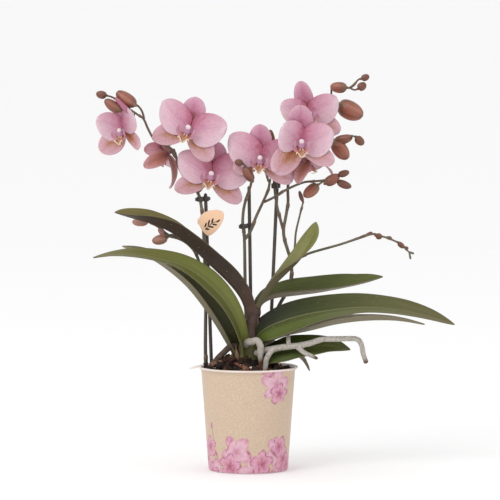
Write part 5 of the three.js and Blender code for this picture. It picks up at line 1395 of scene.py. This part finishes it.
def lip_skin(name, stops, stripe, amount):
    """Lip tissue: waxier than a petal, with short stripes across it."""
    material, tree = start_material(name)
    coords = add_node(tree, "TexCoord")
    sides = add_node(tree, "SeparateXYZ", {}, {0: coords.outputs["UV"]})
    rimward = add_node(tree, "Math", {"operation": "MULTIPLY_ADD", 1: 0.4, 2: -0.2}, {0: sides.outputs["X"]})
    along = add_node(tree, "Math", {"operation": "ADD"}, {0: sides.outputs["Y"], 1: rimward.outputs[0]})
    base = add_node(tree, "ValToRGB", {"stops": stops}, {0: along.outputs[0]})
    stretch = add_node(tree, "Mapping", {"Scale": (14, 2, 1)}, {0: coords.outputs["UV"]})
    bars = add_node(tree, "TexNoise", {"Scale": 1, "Detail": 2, "Distortion": 0.4},
                    {"Vector": stretch.outputs[0]})
    bar = add_node(tree, "MapRange", {"From Min": 0.48, "From Max": 0.56, "To Min": 0, "To Max": amount},
                   {0: bars.outputs[0]})
    barred = add_node(tree, "Mix", {"data_type": "RGBA", 7: stripe}, {0: bar.outputs[0], 6: base.outputs[0]})
    waxy = add_node(tree, "Bump", {"Strength": 0.25, "Distance": 0.0003}, {"Height": bars.outputs[0]})
    close_material(tree, {"Roughness": 0.4, "Subsurface Weight": 0.2, "Subsurface Scale": 0.001},
                   {"Base Color": barred.outputs[2], "Normal": waxy.outputs[0]})
    return material


side_lobe_skin = lip_skin("lip_side_lobe_tissue", [(0, "#b57c5c"), (0.25, "#bd8270"), (0.5, "#c08c9c"),
                                                   (1, "#d2a8bf")], "#96485a", 0.55)
middle_lobe_skin = lip_skin("lip_middle_lobe_tissue", [(0, "#a86248"), (0.4, "#b27a58"), (0.75, "#c69c7c"),
                                                       (1, "#dcc4ac")], "#84402e", 0.6)
tendril_skin = lip_skin("lip_tendril_tissue", [(0, "#dccab4"), (1, "#e2d2be")], "#c89a70", 0.35)


def side_lobe(way, foot):
    """An ear beside the column: it rises round it from below, its hollow side turned forward and inward."""
    line = smooth_line([(1.4, -6.6, foot + 2.6), (4.8, -7, foot + 4.2), (7.4, -4, foot + 5.8),
                        (6.7, 0.9, foot + 7)])

    def surface(u, v):
        ahead = heading(line, v)
        outward = Vector((ahead.y, -ahead.x, 0)).normalized()
        half = between([1.3, 2.6, 3.1, 2.7, 0.9], v)
        spot = line(v) + outward * (0.75 * half * u) + Vector((0, 0, 0.6 * half * u + 0.9 * u * u))
        return Vector((way * spot.x, spot.y, spot.z))
    return surface


def middle_lobe(foot):
    """The lip's tongue: it points down and forward, hollow along its middle, and narrows to its tip."""
    def surface(u, v):
        half = between([1.3, 2.6, 2.9, 2.3, 1.5, 0.7], v)
        return Vector((u * half, -4.6 - 9.6 * v + 0.5 * u * u * (1 - v), foot + 2.4 + 6.4 * v - 2.2 * v * v
                       + 1.3 * u * u * math.sin(math.pi * v)))
    return surface


for name, bloom in BLOOMS.items():
    size = bloom["size"]
    foot = 2.2 / size
    there = bloom_place(bloom) @ Matrix.Scale(size, 4)
    lip_name = name.replace("bloom", "lip")
    bm = start_piece()
    arch = [(0, -4.6, foot), (0, -4, foot + 2.4), (0, -2, foot + 4.2), (0, 0.4, foot + 5.2)]

    def column_radius(angle, t):
        return between([2, 3, 3.3, 2.9, 2.2], t) * (1 + 0.08 * math.cos(2 * angle)) * round_ends(t, 0.15)

    add_tube(bm, arch, column_radius, 20, 22)
    lid = bmesh.ops.create_uvsphere(bm, u_segments=24, v_segments=14, radius=1, calc_uvs=True)["verts"]
    set_skin(lid, 1)
    bmesh.ops.scale(bm, vec=(2.55, 2.35, 2), verts=lid)
    bmesh.ops.translate(bm, vec=(0, 1.1, foot + 5.7), verts=lid)
    bmesh.ops.recalc_face_normals(bm, faces=bm.faces)
    bmesh.ops.transform(bm, matrix=there, verts=bm.verts)
    finish_piece(bm, lip_name + "_column", [column_skin, cap_skin], [lip_name])

    bm = start_piece()
    add_blade(bm, side_lobe(1, foot), 10, 18, 0)
    add_blade(bm, side_lobe(-1, foot), 10, 18, 0)
    add_blade(bm, middle_lobe(foot), 12, 18, 1)
    bmesh.ops.transform(bm, matrix=there, verts=bm.verts)
    lobes = finish_piece(bm, lip_name + "_lobes", [side_lobe_skin, middle_lobe_skin], [lip_name])
    give_flesh(lobes, LIP_THICKNESS)

    bm = start_piece()
    for way in (1, -1):
        curl = [(way * 0.2, -14.4, foot + 6.6), (way * 1.5, -13, foot + 7.8), (way * 3, -11, foot + 8.8),
                (way * 4.6, -9.6, foot + 9), (way * 5.4, -10.4, foot + 8.6), (way * 5, -11.4, foot + 8)]
        add_tube(bm, curl, lambda angle, t: (0.75 - 0.45 * t) * round_ends(t, 0.1), 10, 32)
        horn = [(way * 0.7, -5.4, foot + 3.2), (way * 1.3, -6.4, foot + 4.8), (way * 1.5, -7.6, foot + 5.6)]
        add_tube(bm, horn, lambda angle, t: (0.8 - 0.4 * t) * round_ends(t, 0.2), 10, 12)
    bmesh.ops.recalc_face_normals(bm, faces=bm.faces)
    bmesh.ops.transform(bm, matrix=there, verts=bm.verts)
    finish_piece(bm, lip_name + "_tendrils", [tendril_skin], [lip_name])

# ---- Aerial roots ----
# Three living roots that leave the crown above the bark: a thick one that bends down in front, a long forked
# one to the right, and a darker one at the left. A spongy silver skin covers them, except at their brown
# growing tips.

# Each root: its run and its forks, with their radii from foot to tip. A dry fork has no growing tip.
ROOTS = {
    "root_thick": [
        {"points": [[-2, -10, 113], [-1, -16, 117], [3, -20, 118], [8, -22, 119], [11, -23, 114],
                    [11, -22, 106], [11.5, -19, 98], [12.5, -19, 91]],
         "radii": [2.9, 2.9, 2.6, 1.2]},
    ],
    "root_long": [
        {"points": [[6, -11, 106], [15, -18, 110], [29, -24, 113], [44, -27, 115], [54, -29, 117],
                    [66, -31, 121], [80, -32, 121.5], [96, -32, 121.5], [101, -31, 117], [103, -30, 108],
                    [106, -29, 99]],
         "radii": [2.6, 2.3, 1.8]},
        {"points": [[43, -27, 115], [50, -29, 109], [57, -30, 106], [62.5, -31, 103.5]], "radii": [2.3, 1]},
        {"points": [[30, -24, 113], [22, -25, 111], [17, -25, 104], [15.5, -24, 96], [15, -23, 86]],
         "radii": [2.4, 1.9]},
        {"points": [[37, -26, 114], [36, -24, 119], [36, -20, 124]], "radii": [1.9, 1.5], "dry": True},
    ],
    "root_left": [
        {"points": [[-9, -3, 112], [-16, -5, 112], [-23, -7, 106], [-29, -8, 100], [-34, -8, 93],
                    [-35, -7, 84]],
         "radii": [2.6, 2.2]},
    ],
}


def root_skin(name, pale, dark, tip_colour):
    """Velamen: the dry, chalky outer sponge of a root, silver with fine darker specks and small pits."""
    material, tree = start_material(name)
    place = add_node(tree, "TexCoord").outputs["Object"]
    tip = add_node(tree, "Attribute", {"attribute_name": "tip"})
    sponge = add_node(tree, "TexNoise", {"Scale": 1000 / 2.2, "Detail": 6, "Roughness": 0.7},
                      {"Vector": place})
    pits = add_node(tree, "TexVoronoi", {"Scale": 1000 / 1.1}, {"Vector": place})
    base = add_node(tree, "ValToRGB", {"stops": [(0.35, dark), (0.62, pale)]}, {0: sponge.outputs[0]})
    pit = add_node(tree, "MapRange", {"From Min": 0.1, "From Max": 0.3, "To Min": 0.4, "To Max": 0},
                   {0: pits.outputs["Distance"]})
    pitted = add_node(tree, "Mix", {"data_type": "RGBA", 7: dark}, {0: pit.outputs[0], 6: base.outputs[0]})
    tipped = add_node(tree, "Mix", {"data_type": "RGBA", 7: tip_colour},
                      {0: tip.outputs["Fac"], 6: pitted.outputs[2]})
    chalk = add_node(tree, "Bump", {"Strength": 0.5, "Distance": 0.0005}, {"Height": sponge.outputs[0]})
    close_material(tree, {"Roughness": 0.85}, {"Base Color": tipped.outputs[2], "Normal": chalk.outputs[0]})
    return material


ROOT_SKINS = {
    "root_thick": root_skin("silver_root_velamen", "#b0a9a0", "#9a9288", "#70493c"),
    "root_long": root_skin("speckled_root_velamen", "#b9b3ab", "#8b847b", "#5f4234"),
    "root_left": root_skin("dark_root_velamen", "#5c4c43", "#40332c", "#4a3830"),
}

for name, runs in ROOTS.items():
    bm = start_piece()
    tip_layer = bm.verts.layers.float.new("tip")
    for order, run in enumerate(runs):
        line = smooth_line(run["points"])
        length = line_length(line)

        def root_radius(angle, t):
            spot = Vector((1.3 * math.cos(angle), 1.3 * math.sin(angle), t * length / 5 + 9 * order))
            return (between(run["radii"], t) + 0.3 + 0.22 * noise.noise(spot)) * round_ends(t, 2.2 / length)

        reach = 9 if name == "root_thick" else 2.5
        tube = add_tube(bm, run["points"], root_radius, 18, int(length / 1.1))
        for vert in {vert for face in tube for vert in face.verts}:
            far = (vert.co - line(1)).length
            vert[tip_layer] = 0 if "dry" in run else 1 - smooth_step((far - reach) / 4)
    bmesh.ops.recalc_face_normals(bm, faces=bm.faces)
    finish_piece(bm, name + "_velamen", [ROOT_SKINS[name]], [name])

# ---- Studio ----
# A wide floor of pale matt paper that reaches past the edge of every view, a large soft light from the front
# left, a weaker one from the right, and a nearly white surrounding. Everything in this section is in metres.

FLOOR_HALF = 150  # far enough for the horizon of every view
PLANT_MIDDLE = Vector((0, 0, 0.18))

paper, tree = start_material("floor_paper")
place = add_node(tree, "TexCoord").outputs["Object"]
tooth = add_node(tree, "TexNoise", {"Scale": 1000 / 3, "Detail": 3}, {"Vector": place})
white = add_node(tree, "ValToRGB", {"stops": [(0.3, "#fbfbfb"), (0.7, "#fefefe")]}, {0: tooth.outputs[0]})
close_material(tree, {"Roughness": 0.9, "Specular IOR Level": 0.2}, {"Base Color": white.outputs[0]})

bm = bmesh.new()
bmesh.ops.create_grid(bm, x_segments=1, y_segments=1, size=FLOOR_HALF)
floor_mesh = bpy.data.meshes.new("floor")
bm.to_mesh(floor_mesh)
bm.free()
floor_mesh.materials.append(paper)
floor = bpy.data.objects.new("floor", floor_mesh)
bpy.context.scene.collection.objects.link(floor)


def add_softbox(name, place, size, power):
    """A square soft light that looks at the middle of the plant."""
    light = bpy.data.lights.new(name, "AREA")
    light.size, light.energy = size, power
    lamp = bpy.data.objects.new(name, light)
    lamp.location = place
    lamp.rotation_euler = (PLANT_MIDDLE - Vector(place)).to_track_quat("-Z", "Y").to_euler()
    bpy.context.scene.collection.objects.link(lamp)


add_softbox("key_light", (-1.1, -1.5, 1.5), 1.1, 14)
add_softbox("fill_light", (1.6, -1.3, 0.8), 1.4, 2)

world = bpy.data.worlds.new("studio")
world.use_nodes = True
world.node_tree.nodes["Background"].inputs["Color"].default_value = linear("#fbfbfb")
world.node_tree.nodes["Background"].inputs["Strength"].default_value = 1.0
bpy.context.scene.world = world
bpy.context.scene.view_settings.view_transform = "Standard"

camera_data = bpy.data.cameras.new("camera")
camera_data.lens, camera_data.sensor_width = 280.2, 36
camera = bpy.data.objects.new("camera", camera_data)
camera.location = (0.0016, -3.5, 0.44)
camera.rotation_euler = (math.radians(90 - 3.938), 0, 0)
bpy.context.scene.collection.objects.link(camera)
bpy.context.scene.camera = camera
